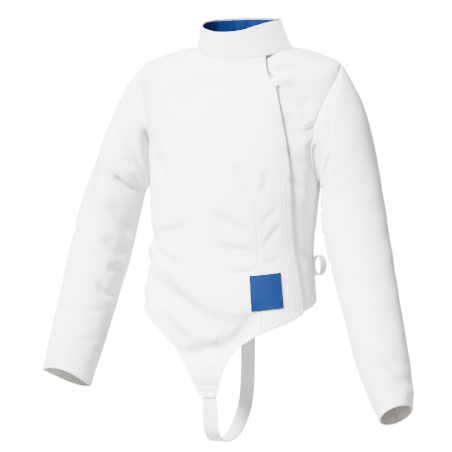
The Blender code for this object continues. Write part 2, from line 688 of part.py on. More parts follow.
def side_loop(finish):
    """The loop of tape on the wearer's left side seam, open to the front and the back."""
    seat = body(np.array([LOOP_ANGLE]), np.array([LOOP_LEVEL]))[0]
    turn = np.linspace(0, 2 * math.pi, LOOP_COLUMNS + 1)[:-1][None, :]
    y = np.linspace(0.5, -0.5, 2)[:, None] * LOOP_WIDE
    side, rise = np.cos(turn), np.sin(turn)
    x = seat[0] + 2 * LIE_GAP + LOOP_PROUD / 2 * (1 + side)
    z = LOOP_Z + LOOP_TALL / 2 * rise
    surface = np.stack([x + 0 * y, seat[1] + y + 0 * x, z + 0 * y], -1)
    normal = np.stack([side / LOOP_PROUD + 0 * y, 0 * side + 0 * y, rise / LOOP_TALL + 0 * y], -1)
    normal /= np.linalg.norm(normal, axis=-1, keepdims=True)
    return cloth_piece("side_loop", surface, normal, WEBBING, finish, wrap=True)


def zip_tape(finish):
    """The zip's tapes and closed chain as one strip of the left front's own points moved out."""
    angle, level = left_grid()
    columns_under_zip = slice(3, 6)
    rows = (level[:, 4] > ZIP_LEVELS[0]) & (level[:, 4] < ZIP_LEVELS[1])
    angle, level = angle[rows, columns_under_zip], level[rows, columns_under_zip]
    normal = normals_of(left_surface, angle, level, BODY_STEP)
    surface = left_surface(angle, level) + normal * (LIE_GAP + ZIP_TAPE)
    return cloth_piece("zip_tape", surface, normal, ZIP_TAPE, finish)


def zip_point(level):
    """The point of the left front under the middle of the zip."""
    level = np.array([level])
    return left_surface(curve_through(level, LAPS["level"], LAPS["zip"]), level)[0]


def zip_frame():
    """The place and turn of the slider: x runs across the zip, y down it and z out of the cloth."""
    level = np.array([SLIDER_LEVEL])
    angle = curve_through(level, LAPS["level"], LAPS["zip"])
    out = normals_of(left_surface, angle, level, BODY_STEP)[0]
    down = zip_point(SLIDER_LEVEL - 0.005) - zip_point(SLIDER_LEVEL + 0.005)
    down -= out * down.dot(out)
    down /= np.linalg.norm(down)
    frame = Matrix([*zip(np.cross(down, out), down, out)]).to_4x4()
    frame.translation = zip_point(SLIDER_LEVEL)
    return frame


def block(name, size, middle):
    """A mesh object with the shape of a box, in the frame of the slider."""
    shape = bmesh.new()
    bmesh.ops.create_cube(shape, size=1.0)
    bmesh.ops.scale(shape, vec=size, verts=shape.verts)
    bmesh.ops.translate(shape, vec=middle, verts=shape.verts)
    mesh = bpy.data.meshes.new(name)
    shape.to_mesh(mesh)
    shape.free()
    return mesh


def helper(name, mesh, frame):
    """A hidden shape that another one is joined with or cut by."""
    tool = bpy.data.objects.new(name, mesh)
    tool.hide_render = True
    tool.display_type = "WIRE"
    tool.matrix_world = frame
    bpy.data.collections[NAME + "_helpers"].objects.link(tool)
    return tool


def combine(piece, tool, operation):
    """Joins a piece with a helper, or cuts it."""
    change = piece.modifiers.new(tool.name, "BOOLEAN")
    change.operation = operation
    change.object = tool


def zip_slider(finish):
    """The slider on the tape: a plate with a bridge along it, under which the pull's bar turns."""
    frame = zip_frame()
    plate = (SLIDER_WIDE, SLIDER_LONG, SLIDER_THICK)
    slider_mesh = block("zip_slider", plate, (0, 0, SLIDER_SEAT + SLIDER_THICK / 2))
    slider = add_object("zip_slider", slider_mesh, finish)
    slider.matrix_world = frame
    base = SLIDER_SEAT + SLIDER_THICK
    tall = BRIDGE_WINDOW[1] + BRIDGE_BAR
    bridge_size = (BRIDGE_WIDE, BRIDGE_LONG, tall + 2 * BRIDGE_SINK)
    bridge = block("bridge", bridge_size, (0, 0, base + tall / 2 - BRIDGE_SINK))
    window = block("window", (2 * SLIDER_WIDE, *BRIDGE_WINDOW), (0, 0, PIVOT_HEIGHT))
    combine(slider, helper("bridge", bridge, frame), "UNION")
    combine(slider, helper("window", window, frame), "DIFFERENCE")
    return slider


def zip_pull(finish):
    """The pull tab: a flat tab with a round end and an eye, turning on the bar at its top."""
    half = PULL_WIDTH / 2
    turn = np.linspace(0, math.pi, 13)
    round_end = [(half * math.cos(t), PULL_LENGTH - half + half * math.sin(t)) for t in turn]
    outline = [(-half, -PULL_BAR / 2), (half, -PULL_BAR / 2), *round_end]
    wide, long = PULL_EYE[0] / 2, PULL_EYE[1]
    top = PULL_BAR / 2
    eye = [(-wide, top), (-wide, top + long), (wide, top + long), (wide, top)]
    curve = bpy.data.curves.new("zip_pull", "CURVE")
    curve.dimensions = "2D"
    curve.fill_mode = "BOTH"
    curve.extrude = PULL_THICK / 2
    for points in (outline, eye):
        spline = curve.splines.new("POLY")
        spline.points.add(len(points) - 1)
        for knot, (x, y) in zip(spline.points, points):
            knot.co = (x, y, 0, 1)
        spline.use_cyclic_u = True
    pull = add_object("zip_pull", curve, finish)
    frame = zip_frame()
    frame.translation += frame.to_3x3() @ Vector((0, 0, PIVOT_HEIGHT))
    pull.matrix_world = frame
    return pull


def main():
    """Clears the scene and builds every piece."""
    for old in list(bpy.data.objects):
        bpy.data.objects.remove(old)
    for name in (NAME, NAME + "_helpers"):
        bpy.context.scene.collection.children.link(bpy.data.collections.new(name))
    white = material("white_cloth", WHITE, 0.85)
    elastic = material("white_elastic", WARM_WHITE, 0.80)
    satin = material("blue_satin", BLUE, 0.40)
    woven = material("blue_label", LABEL_BLUE, 0.70)
    enamel = material("white_enamel", WHITE, 0.35)
    right_front(white)
    left_front(white)
    back(white)
    sleeve(-1, white)
    sleeve(1, white)
    collar(white)
    collar_lining(satin)
    strap(elastic)
    label(woven)
    side_loop(elastic)
    zip_tape(elastic)
    zip_slider(enamel)
    zip_pull(enamel)


main()
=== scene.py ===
"""The looks of a white fencing jacket, hollow and filled out as if worn, in metres with +Z up.

The wearer faces -Y, the wearer's left is +X, and the origin is the middle of the neck. On the body
an angle of 0 is the middle of the front, 90 the wearer's left side and 180 the middle of the back,
and a level is the way down the side line from the neck. On a sleeve the way along it runs from the
armhole to the cuff, and a turn of 0 is its outer side, 90 its front and 180 its inner side.
"""

from __future__ import annotations

import logging
import math
from dataclasses import dataclass, field
from enum import Enum
from typing import Callable, Sequence

import bpy
import numpy as np
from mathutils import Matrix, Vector

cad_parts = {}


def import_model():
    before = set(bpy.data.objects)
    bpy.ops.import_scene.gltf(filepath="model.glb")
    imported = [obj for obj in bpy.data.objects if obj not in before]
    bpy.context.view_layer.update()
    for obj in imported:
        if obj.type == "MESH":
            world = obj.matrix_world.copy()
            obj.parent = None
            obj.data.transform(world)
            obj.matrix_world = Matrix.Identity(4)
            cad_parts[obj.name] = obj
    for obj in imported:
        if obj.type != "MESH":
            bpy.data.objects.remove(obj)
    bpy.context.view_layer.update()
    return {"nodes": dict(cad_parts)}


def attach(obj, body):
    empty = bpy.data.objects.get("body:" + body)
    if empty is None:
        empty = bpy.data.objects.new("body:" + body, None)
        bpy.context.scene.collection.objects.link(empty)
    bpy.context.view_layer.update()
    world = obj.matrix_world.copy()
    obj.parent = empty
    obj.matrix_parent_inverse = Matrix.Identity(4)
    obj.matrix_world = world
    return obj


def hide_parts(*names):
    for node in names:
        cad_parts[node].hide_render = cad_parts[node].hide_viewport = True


log = logging.getLogger("fencing_jacket")

Array = np.ndarray
Surface = Callable[[Array, Array], Array]
Rows = Sequence[Sequence[float]]

JACKET = "jacket"

# Walls and gaps
CLOTH = 0.0020
LINING = 0.0010
WEBBING = 0.0016
SEAM_GAP = 0.0002
LIE_GAP = 0.0003
CELL = 0.0030

# The depth at which a crease gets its full painted shade, the colour that this painted shade multiplies
# the cloth's colour by, and how far the pattern of an inner face lies from that of the outer one
PAINTED_SHADE_FULL_DEPTH = 0.0050
PAINTED_CREASE_SHADE = 0.86
INNER_PATTERN_SHIFT = 0.37

# The body's cut
ARMPIT = -0.290
SHOULDER_TIP = -0.118
ARMHOLE_FRONT_LEAN = 28.0
ARMHOLE_BACK_LEAN = 36.0
SIDE_RADIUS = 0.2
LAP_FADE = 16.0
NECK_CALM = 0.02
NECK_CALM_FADE = 0.05
BODY_STEP = (0.5, 0.002)
TUBE_STEP = (0.002, 2.0)

BODY_COLUMNS = "level half_width x_mid y_front y_side y_back z_front z_side z_back square"
BODY_SECTIONS = (
    (-0.680, 0.118, -0.015, -0.128, -0.048, 0.045, -0.605, -0.605, -0.605, 2.10),
    (-0.655, 0.130, -0.015, -0.134, -0.044, 0.055, -0.580, -0.580, -0.580, 2.15),
    (-0.610, 0.143, -0.013, -0.138, -0.038, 0.062, -0.535, -0.535, -0.535, 2.20),
    (-0.560, 0.149, -0.011, -0.139, -0.034, 0.067, -0.485, -0.485, -0.485, 2.25),
    (-0.510, 0.149, -0.009, -0.138, -0.031, 0.069, -0.435, -0.435, -0.435, 2.30),
    (-0.465, 0.145, -0.008, -0.136, -0.029, 0.070, -0.390, -0.390, -0.390, 2.30),
    (-0.415, 0.141, -0.007, -0.133, -0.028, 0.072, -0.340, -0.340, -0.340, 2.30),
    (-0.360, 0.142, -0.005, -0.134, -0.026, 0.082, -0.285, -0.285, -0.285, 2.35),
    (-0.312, 0.145, -0.003, -0.134, -0.023, 0.090, -0.240, -0.237, -0.237, 2.40),
    (-0.250, 0.150, -0.001, -0.129, -0.019, 0.095, -0.188, -0.172, -0.167, 2.40),
    (-0.195, 0.158, 0.000, -0.120, -0.014, 0.096, -0.142, -0.112, -0.102, 2.40),
    (-0.150, 0.170, 0.000, -0.109, -0.006, 0.093, -0.101, -0.060, -0.048, 2.22),
    (-0.118, 0.177, 0.000, -0.098, 0.002, 0.088, -0.070, -0.022, -0.010, 2.05),
    (-0.082, 0.150, 0.000, -0.087, 0.006, 0.079, -0.047, -0.006, 0.004, 2.00),
    (-0.040, 0.110, 0.000, -0.075, 0.004, 0.069, -0.028, 0.007, 0.014, 2.00),
    (0.000, 0.075, 0.000, -0.065, 0.000, 0.060, -0.012, 0.012, 0.020, 2.00),
)

HEM_COLUMNS = "angle level"
FRONT_HEM = (
    (-95.0, -0.504), (-80.0, -0.506), (-68.0, -0.511), (-55.5, -0.519), (-41.5, -0.536),
    (-31.5, -0.554), (-23.5, -0.574), (-16.0, -0.602), (-11.5, -0.622), (-7.5, -0.643),
    (-5.0, -0.650), (0.0, -0.652), (5.5, -0.651), (7.5, -0.640), (10.0, -0.612),
    (12.5, -0.592), (15.5, -0.578), (20.5, -0.564), (28.0, -0.551), (36.0, -0.541),
    (45.5, -0.532), (69.0, -0.512), (80.0, -0.505), (95.0, -0.500),
)
BACK_HEM = ((85.0, -0.500), (120.0, -0.496), (180.0, -0.494), (240.0, -0.498), (275.0, -0.504))

LAP_COLUMNS = "level angle zip under inset"
LAP = (
    (-0.620, 73.0, 66.0, 44.0, 0.0050),
    (-0.510, 69.0, 62.0, 41.0, 0.0050),
    (-0.458, 66.0, 59.0, 39.0, 0.0050),
    (-0.406, 61.0, 54.5, 36.0, 0.0050),
    (-0.364, 56.5, 50.0, 33.0, 0.0052),
    (-0.298, 51.5, 45.5, 29.0, 0.0056),
    (-0.252, 47.5, 42.0, 25.0, 0.0062),
    (-0.206, 41.5, 37.5, 21.0, 0.0072),
    (-0.156, 34.5, 33.0, 17.0, 0.0086),
    (-0.104, 28.5, 30.3, 12.0, 0.0100),
    (-0.072, 29.5, 31.5, 12.0, 0.0100),
    (-0.040, 35.0, 34.0, 14.0, 0.0085),
    (0.000, 47.0, 40.0, 20.0, 0.0060),
)

# Folds of the solids: each runs from one place to another with its sag, width and height, keeps
# its height over the core of its length and fades beyond it
BODY_METRES_PER_DEGREE = 0.0024
FOLD_CORE = 0.4
FOLD_FADE = 0.18
BODY_FOLDS = (
    (-62.0, -0.425, 12.0, -0.500, 0.024, 0.015, -0.0044),
    (-58.0, -0.478, -2.0, -0.545, 0.016, 0.013, 0.0036),
    (-34.0, -0.560, 8.0, -0.578, 0.012, 0.013, -0.0046),
    (8.0, -0.578, 34.0, -0.490, 0.006, 0.013, -0.0036),
    (-80.0, -0.362, -30.0, -0.404, 0.008, 0.013, -0.0034),
    (-84.0, -0.412, -48.0, -0.436, 0.006, 0.012, 0.0032),
    (8.0, -0.402, 34.0, -0.410, 0.006, 0.012, -0.0026),
    (40.0, -0.064, 62.0, -0.078, 0.004, 0.012, -0.0030),
    (36.0, -0.100, 60.0, -0.166, 0.006, 0.013, -0.0040),
    (-62.0, -0.190, -38.0, -0.290, 0.010, 0.016, -0.0036),
    (112.0, -0.330, 160.0, -0.372, 0.016, 0.016, -0.0050),
    (198.0, -0.378, 246.0, -0.335, 0.016, 0.016, -0.0050),
    (120.0, -0.412, 172.0, -0.440, 0.014, 0.015, 0.0040),
    (188.0, -0.444, 240.0, -0.416, 0.012, 0.015, 0.0040),
    (122.0, -0.180, 132.0, -0.270, 0.006, 0.016, -0.0040),
    (228.0, -0.270, 238.0, -0.180, 0.006, 0.016, -0.0040),
)


@dataclass(frozen=True)
class Crease:
    """A soft trough or ridge: its height, its width on the upper and lower side, and its path."""

    height: float
    upper: float
    lower: float
    path: tuple[tuple[float, float], ...]


# Creases that only the looks have, along angles and levels of the body. A crease fades over a
# share of its length at both ends, and its curve is followed in a few steps for each point
CREASE_FADE = 0.3
CREASE_STEPS = 5
BELLY_CREASES = (
    Crease(-0.0078, 0.0098, 0.0200,
           ((-46.0, -0.440), (-38.0, -0.456), (-25.0, -0.482), (-14.0, -0.502), (-1.5, -0.516),
            (10.5, -0.522), (22.0, -0.520), (36.0, -0.510))),
    Crease(-0.0066, 0.0082, 0.0130, ((-43.0, -0.498), (-30.5, -0.522), (-20.5, -0.542), (-10.0, -0.556))),
    Crease(-0.0086, 0.0115, 0.0085, ((-20.0, -0.588), (-7.5, -0.573), (2.0, -0.568), (19.0, -0.559))),
    Crease(-0.0062, 0.0095, 0.0110, ((-1.0, -0.570), (10.0, -0.563), (19.0, -0.544), (28.5, -0.504))),
    Crease(-0.0030, 0.0060, 0.0090, ((-50.0, -0.378), (-38.0, -0.376), (-26.0, -0.368), (-14.0, -0.360))),
    Crease(-0.0030, 0.0060, 0.0090, ((-60.0, -0.408), (-41.0, -0.414), (-29.0, -0.425), (-16.0, -0.434))),
    Crease(-0.0045, 0.0090, 0.0090, ((-98.0, -0.384), (-74.0, -0.388), (-44.0, -0.385))),
    Crease(0.0040, 0.0090, 0.0090, ((-98.0, -0.408), (-74.0, -0.409), (-48.0, -0.407))),
    Crease(-0.0045, 0.0080, 0.0080, ((-98.0, -0.433), (-74.0, -0.432), (-46.0, -0.428))),
    Crease(0.0042, 0.0130, 0.0120, ((-98.0, -0.474), (-78.0, -0.477), (-50.0, -0.476))),
    Crease(-0.0038, 0.0060, 0.0090, ((-3.0, -0.340), (6.0, -0.350), (15.0, -0.362), (26.0, -0.374))),
    Crease(-0.0022, 0.0045, 0.0080, ((32.5, -0.404), (38.0, -0.388), (42.5, -0.372), (48.0, -0.358))),
    Crease(-0.0018, 0.0050, 0.0080, ((31.5, -0.370), (36.5, -0.350), (44.0, -0.330))),
    Crease(-0.0014, 0.0045, 0.0070, ((34.0, -0.427), (41.0, -0.424), (49.0, -0.412))),
    Crease(-0.0028, 0.0040, 0.0070, ((0.0, -0.398), (9.0, -0.400), (18.0, -0.402), (29.0, -0.404))),
    Crease(-0.0024, 0.0040, 0.0060, ((9.0, -0.443), (20.0, -0.441), (33.0, -0.435))),
    Crease(-0.0032, 0.0070, 0.0090, ((10.0, -0.244), (18.5, -0.286), (25.0, -0.326))),
    Crease(-0.0022, 0.0050, 0.0060, ((32.5, -0.258), (33.0, -0.284), (31.0, -0.312))),
    Crease(0.0016, 0.0060, 0.0060, ((26.5, -0.262), (27.5, -0.284), (27.0, -0.306))),
    Crease(-0.0030, 0.0180, 0.0160, ((-32.0, -0.146), (-17.5, -0.106), (-4.0, -0.058))),
    Crease(-0.0026, 0.0140, 0.0160, ((-50.0, -0.222), (-38.0, -0.276), (-34.0, -0.330))),
    Crease(-0.0030, 0.0030, 0.0030, ((-16.0, -0.641), (0.0, -0.6415), (15.0, -0.640))),
    Crease(-0.0024, 0.0035, 0.0045, ((-14.0, -0.629), (-2.0, -0.631), (12.0, -0.628))),
)
LAP_CREASES = (
    Crease(-0.0042, 0.0040, 0.0100, ((33.0, -0.060), (40.0, -0.065), (48.0, -0.077), (60.0, -0.100))),
    Crease(-0.0085, 0.0060, 0.0150,
           ((31.0, -0.098), (37.0, -0.116), (44.0, -0.140), (51.0, -0.158), (63.0, -0.174))),
    Crease(0.0022, 0.0050, 0.0060, ((34.0, -0.134), (40.0, -0.150), (48.0, -0.170), (56.0, -0.186))),
    Crease(-0.0052, 0.0046, 0.0110,
           ((36.0, -0.160), (41.0, -0.174), (46.0, -0.190), (53.0, -0.210), (62.0, -0.226))),
    Crease(-0.0032, 0.0040, 0.0080, ((41.0, -0.222), (47.0, -0.238), (54.0, -0.254), (66.0, -0.278))),
    Crease(-0.0026, 0.0050, 0.0080, ((48.0, -0.276), (56.0, -0.292), (68.0, -0.312))),
    Crease(0.0110, 0.0360, 0.0360, ((84.0, -0.100), (74.0, -0.150), (71.0, -0.200), (77.0, -0.256))),
    Crease(0.0013, 0.0035, 0.0035, ((49.0, -0.202), (56.0, -0.192), (63.0, -0.184))),
    Crease(-0.0022, 0.0030, 0.0035, ((54.0, -0.206), (61.0, -0.203), (68.0, -0.200))),
    Crease(0.0013, 0.0035, 0.0035, ((54.0, -0.215), (66.0, -0.222), (78.0, -0.232))),
    Crease(-0.0040, 0.0030, 0.0080, ((58.0, -0.226), (68.0, -0.236), (80.0, -0.250))),
    Crease(-0.0030, 0.0070, 0.0080, ((64.0, -0.330), (76.0, -0.350), (90.0, -0.360))),
    Crease(-0.0030, 0.0070, 0.0080, ((66.0, -0.404), (78.0, -0.414), (92.0, -0.420))),
)
BACK_CREASES = (
    Crease(-0.0036, 0.0070, 0.0100, ((104.0, -0.300), (120.0, -0.304), (136.0, -0.318), (152.0, -0.334))),
    Crease(-0.0036, 0.0070, 0.0100, ((206.0, -0.336), (222.0, -0.322), (238.0, -0.308), (256.0, -0.302))),
    Crease(-0.0034, 0.0060, 0.0090, ((98.0, -0.376), (116.0, -0.384), (130.0, -0.396), (142.0, -0.404))),
    Crease(-0.0034, 0.0060, 0.0090, ((218.0, -0.406), (234.0, -0.396), (246.0, -0.388), (262.0, -0.384))),
    Crease(-0.0028, 0.0080, 0.0100, ((146.0, -0.390), (166.0, -0.398), (184.0, -0.401), (210.0, -0.394))),
    Crease(-0.0026, 0.0060, 0.0090, ((126.0, -0.440), (142.0, -0.460), (162.0, -0.472))),
    Crease(-0.0026, 0.0060, 0.0090, ((200.0, -0.470), (216.0, -0.462), (234.0, -0.444))),
    Crease(-0.0028, 0.0080, 0.0120, ((124.0, -0.124), (138.0, -0.146), (152.0, -0.172))),
    Crease(-0.0028, 0.0080, 0.0120, ((208.0, -0.174), (222.0, -0.150), (236.0, -0.128))),
    Crease(-0.0022, 0.0090, 0.0120, ((132.0, -0.206), (146.0, -0.228), (158.0, -0.254))),
    Crease(-0.0022, 0.0090, 0.0120, ((204.0, -0.250), (216.0, -0.226), (230.0, -0.210))),
    Crease(-0.0020, 0.0100, 0.0120, ((160.0, -0.060), (180.0, -0.072), (202.0, -0.058))),
)

SLEEVE_COLUMNS = "along inner_x inner_z outer_x outer_z y_mid half_depth front_rise"
RIGHT_SLEEVE = (
    (0.035, 0.156, -0.219, 0.193, -0.047, -0.012, 0.062, 0.000),
    (0.070, 0.161, -0.221, 0.211, -0.082, -0.015, 0.063, 0.000),
    (0.110, 0.164, -0.225, 0.229, -0.124, -0.018, 0.061, 0.002),
    (0.155, 0.171, -0.235, 0.248, -0.176, -0.022, 0.058, 0.004),
    (0.205, 0.176, -0.259, 0.265, -0.222, -0.028, 0.054, 0.006),
    (0.265, 0.183, -0.302, 0.281, -0.276, -0.035, 0.052, 0.008),
    (0.325, 0.193, -0.355, 0.293, -0.337, -0.045, 0.050, 0.010),
    (0.385, 0.206, -0.408, 0.302, -0.396, -0.056, 0.048, 0.012),
    (0.440, 0.218, -0.460, 0.312, -0.451, -0.068, 0.045, 0.012),
    (0.495, 0.231, -0.515, 0.321, -0.504, -0.080, 0.040, 0.010),
    (0.540, 0.247, -0.569, 0.328, -0.549, -0.089, 0.034, 0.009),
)
LEFT_SLEEVE = (
    (0.035, 0.151, -0.218, 0.194, -0.046, -0.012, 0.062, 0.000),
    (0.070, 0.153, -0.220, 0.213, -0.081, -0.015, 0.063, 0.000),
    (0.110, 0.153, -0.225, 0.229, -0.124, -0.018, 0.061, 0.002),
    (0.155, 0.153, -0.238, 0.242, -0.176, -0.023, 0.058, 0.004),
    (0.205, 0.154, -0.264, 0.252, -0.220, -0.028, 0.054, 0.006),
    (0.265, 0.159, -0.301, 0.264, -0.277, -0.036, 0.052, 0.008),
    (0.325, 0.172, -0.346, 0.276, -0.336, -0.046, 0.050, 0.012),
    (0.385, 0.190, -0.400, 0.289, -0.394, -0.058, 0.048, 0.014),
    (0.445, 0.210, -0.457, 0.303, -0.452, -0.074, 0.047, 0.016),
    (0.505, 0.232, -0.522, 0.317, -0.509, -0.088, 0.045, 0.016),
    (0.545, 0.255, -0.573, 0.323, -0.548, -0.096, 0.043, 0.015),
    (0.580, 0.277, -0.611, 0.325, -0.582, -0.104, 0.040, 0.014),
)
SLEEVE_METRES_PER_DEGREE = 0.00088
# Creases of the sleeves, along turns and the way down the sleeve
BEHIND_CREASES = (
    Crease(-0.0036, 0.0080, 0.0090, ((-125.0, 0.248), (-95.0, 0.268), (-70.0, 0.276), (-44.0, 0.272))),
    Crease(-0.0040, 0.0070, 0.0080, ((-165.0, 0.296), (-135.0, 0.306), (-105.0, 0.308), (-76.0, 0.302))),
    Crease(-0.0034, 0.0070, 0.0080, ((-150.0, 0.356), (-115.0, 0.350), (-85.0, 0.342), (-58.0, 0.344))),
    Crease(-0.0036, 0.0090, 0.0100, ((-125.0, 0.132), (-95.0, 0.158), (-62.0, 0.190))),
    Crease(-0.0026, 0.0070, 0.0080, ((-135.0, 0.416), (-95.0, 0.430), (-52.0, 0.438))),
    Crease(-0.0026, 0.0080, 0.0090, ((-155.0, 0.204), (-125.0, 0.222), (-96.0, 0.226))),
)
RIGHT_CREASES = (
    Crease(-0.0260, 0.0050, 0.0065,
           ((86.0, 0.005), (100.0, 0.008), (120.0, 0.010), (144.0, 0.010), (168.0, 0.006))),
    Crease(0.0060, 0.0300, 0.0260, ((108.0, 0.092), (145.0, 0.100), (184.0, 0.088))),
    Crease(-0.0085, 0.0060, 0.0150,
           ((106.0, 0.148), (114.0, 0.158), (128.0, 0.162), (146.0, 0.156), (184.0, 0.138))),
    Crease(-0.0024, 0.0100, 0.0100, ((110.0, 0.074), (128.0, 0.090), (150.0, 0.084))),
    Crease(-0.0064, 0.0150, 0.0130,
           ((110.0, 0.206), (118.0, 0.240), (140.0, 0.262), (168.0, 0.270), (196.0, 0.264))),
    Crease(-0.0056, 0.0130, 0.0110, ((114.0, 0.286), (126.0, 0.306), (150.0, 0.318), (186.0, 0.316))),
    Crease(-0.0050, 0.0090, 0.0090, ((128.0, 0.354), (156.0, 0.348), (190.0, 0.340))),
    Crease(-0.0062, 0.0075, 0.0065, ((116.0, 0.376), (136.0, 0.393), (160.0, 0.396), (190.0, 0.384))),
    Crease(-0.0030, 0.0160, 0.0160, ((140.0, 0.200), (158.0, 0.300), (166.0, 0.420))),
    Crease(-0.0015, 0.0045, 0.0060, ((106.0, 0.435), (134.0, 0.429), (168.0, 0.423))),
    Crease(-0.0022, 0.0050, 0.0050, ((36.0, 0.429), (76.0, 0.436), (102.0, 0.428))),
    Crease(-0.0050, 0.0120, 0.0170, ((38.0, 0.130), (54.0, 0.196), (70.0, 0.250), (84.0, 0.330))),
    Crease(-0.0030, 0.0060, 0.0080, ((48.0, 0.014), (66.0, 0.040), (78.0, 0.074), (88.0, 0.110))),
    Crease(0.0026, 0.0080, 0.0090, ((60.0, 0.108), (80.0, 0.136), (104.0, 0.154))),
    Crease(-0.0022, 0.0080, 0.0080, ((-30.0, 0.280), (10.0, 0.292), (50.0, 0.290))),
    Crease(-0.0020, 0.0070, 0.0070, ((20.0, 0.368), (60.0, 0.380), (94.0, 0.378))),
    Crease(-0.0013, 0.0060, 0.0070, ((104.0, 0.486), (134.0, 0.480), (168.0, 0.470))),
)
LEFT_CREASES = (
    Crease(-0.0080, 0.0050, 0.0080, ((108.0, 0.007), (116.0, 0.009), (140.0, 0.010), (168.0, 0.006))),
    Crease(-0.0026, 0.0050, 0.0070, ((56.0, 0.018), (82.0, 0.040), (102.0, 0.074))),
    Crease(-0.0036, 0.0050, 0.0080, ((100.0, 0.076), (118.0, 0.092), (142.0, 0.104))),
    Crease(-0.0034, 0.0060, 0.0100, ((134.0, 0.138), (156.0, 0.146), (184.0, 0.140))),
    Crease(-0.0034, 0.0080, 0.0080, ((140.0, 0.200), (162.0, 0.210), (190.0, 0.208))),
    Crease(-0.0034, 0.0080, 0.0070, ((142.0, 0.268), (166.0, 0.278), (196.0, 0.276))),
    Crease(-0.0030, 0.0070, 0.0070, ((144.0, 0.330), (166.0, 0.336), (194.0, 0.330))),
    Crease(-0.0024, 0.0120, 0.0140, ((84.0, 0.120), (98.0, 0.180), (108.0, 0.250))),
    Crease(-0.0044, 0.0080, 0.0060,
           ((84.0, 0.506), (70.0, 0.520), (54.0, 0.533), (36.0, 0.541), (0.0, 0.549))),
    Crease(-0.0018, 0.0070, 0.0080, ((60.0, 0.494), (36.0, 0.508), (4.0, 0.516))),
    Crease(-0.0024, 0.0050, 0.0060, ((114.0, 0.504), (96.0, 0.522), (84.0, 0.542))),
    Crease(-0.0026, 0.0060, 0.0060, ((140.0, 0.436), (162.0, 0.440), (190.0, 0.436))),
    Crease(0.0030, 0.0120, 0.0120, ((-20.0, 0.552), (20.0, 0.560), (60.0, 0.556))),
)
SEAM_TURN_COLUMNS = "along turn"
RIGHT_SEAM_TURNS = (
    (0.0, 80.0), (0.020, 88.0), (0.064, 102.0), (0.136, 104.5), (0.284, 103.0), (0.432, 102.0),
    (0.560, 108.0),
)
LEFT_SEAM_TURNS = (
    (0.0, 100.0), (0.014, 106.0), (0.040, 114.0), (0.128, 112.0), (0.208, 111.0), (0.400, 108.0),
    (0.600, 100.0),
)
BACK_SEAM_TURN = -105.0
SLEEVE_OUT = 0.0020
SLEEVE_OUT_FADE = 0.004
SLEEVE_RIPPLE_SEED = 20
SLEEVE_RIPPLE_RADIUS = 0.05
SLEEVE_RIPPLE_START = 0.01
SLEEVE_RIPPLE_FADE = 0.04
RIGHT_CUFF_SEAM = 0.490
LEFT_CUFF_SEAM = 0.530
MOUTH_REACH = 0.060
RIGHT_MOUTH = (0.0090, 0.0050)
LEFT_MOUTH = (0.0020, 0.0)

COLLAR_COLUMNS = "angle lift top out_base out_top"
COLLAR = (
    (22.0, 0.0030, 0.034, -0.0052, -0.0052),
    (60.0, 0.0004, 0.043, -0.0052, -0.0048),
    (100.0, 0.0000, 0.058, -0.0020, -0.0050),
    (150.0, 0.0000, 0.063, 0.0000, -0.0060),
    (210.0, 0.0000, 0.063, 0.0000, -0.0060),
    (265.0, 0.0000, 0.056, 0.0000, -0.0070),
    (310.0, 0.0000, 0.042, 0.0000, -0.0040),
    (345.0, 0.0000, 0.034, 0.0000, -0.0010),
    (375.0, -0.0010, 0.036, 0.0012, 0.0010),
    (400.0, -0.0052, 0.046, 0.0085, 0.0040),
    (425.0, -0.0070, 0.054, 0.0180, 0.0110),
    (438.0, -0.0056, 0.056, 0.0270, 0.0156),
)
COLLAR_END_SLANT = 10.0
COLLAR_TALL = 0.040
COLLAR_END_SCALES = (0.00125, 0.00145)
LINING_TURNS = (30.0, 398.0)
LINING_HEIGHTS = (0.04, 0.93)
LINING_COLUMNS = 180
LINING_ROWS = 22
SATIN_WRINKLE = 0.0011
# Waves of the satin: each one's share of the height, turns round the neck, lean and start
SATIN_WAVES = ((1.0, 15, 60, 0), (0.8, 23, -110, 40), (0.6, 41, 90, 200))
NECK_HALF_WIDTH = 0.075
NECK_FRONT = 0.065
NECK_BACK = 0.060

STRAP_WIDTH = 0.026
STRAP_COLUMNS = 27
STRAP_ROWS = 300
STRAP_RIB = 0.00012
STRAP_FRONT_ANGLES = (-4.36, 6.36)
STRAP_FRONT_LEVELS = (-0.602, -0.618, -0.634, -0.650)
STRAP_BACK_ANGLES = (184.0, 174.0)
STRAP_BACK_LEVELS = (-0.494, -0.480, -0.465)
STRAP_PATH = (
    (-0.0122, -0.1310, -0.5960),
    (-0.0120, -0.1255, -0.6280),
    (-0.0120, -0.1120, -0.6450),
    (-0.0115, -0.0900, -0.6553),
    (-0.0110, -0.0630, -0.6593),
    (-0.0100, -0.0330, -0.6578),
    (-0.0090, -0.0070, -0.6517),
    (-0.0080, 0.0200, -0.6368),
    (-0.0068, 0.0436, -0.6135),
    (-0.0064, 0.0548, -0.5850),
    (-0.0064, 0.0598, -0.5500),
    (-0.0064, 0.0608, -0.5000),
    (-0.0064, 0.0628, -0.4520),
)

DART_COLUMNS = "level angle"
DART = (
    (-0.680, 37.0), (-0.536, 34.0), (-0.470, 32.5), (-0.404, 31.0), (-0.362, 29.0), (-0.304, 24.5),
    (-0.250, 19.0), (-0.160, 11.0), (-0.080, 10.0), (0.000, 16.0),
)
DART_TOP = -0.300
DART_TOP_FADE = 0.012
DART_STITCH_START = 0.006
DART_STITCH_COLUMN = 4
LABEL_ANGLES = (26.0, 48.0)
LABEL_LEVELS = (-0.503, -0.444)
LABEL_EDGE_SHARES = (0.0, 0.008, 0.02)
LABEL_MIDDLE_SHARES = (0.04, 0.96, 44)
LABEL_THICK = 0.0010
LABEL_STITCH = 0.0014
LABEL_STITCH_START = 0.0005
LABEL_SWING = 0.0010
LABEL_TILT = 0.10
LABEL_LEAN = 0.045
LOOP_ANGLE = 96.0
LOOP_Z = -0.359
LOOP_LEVEL = -0.434
LOOP_TALL = 0.036
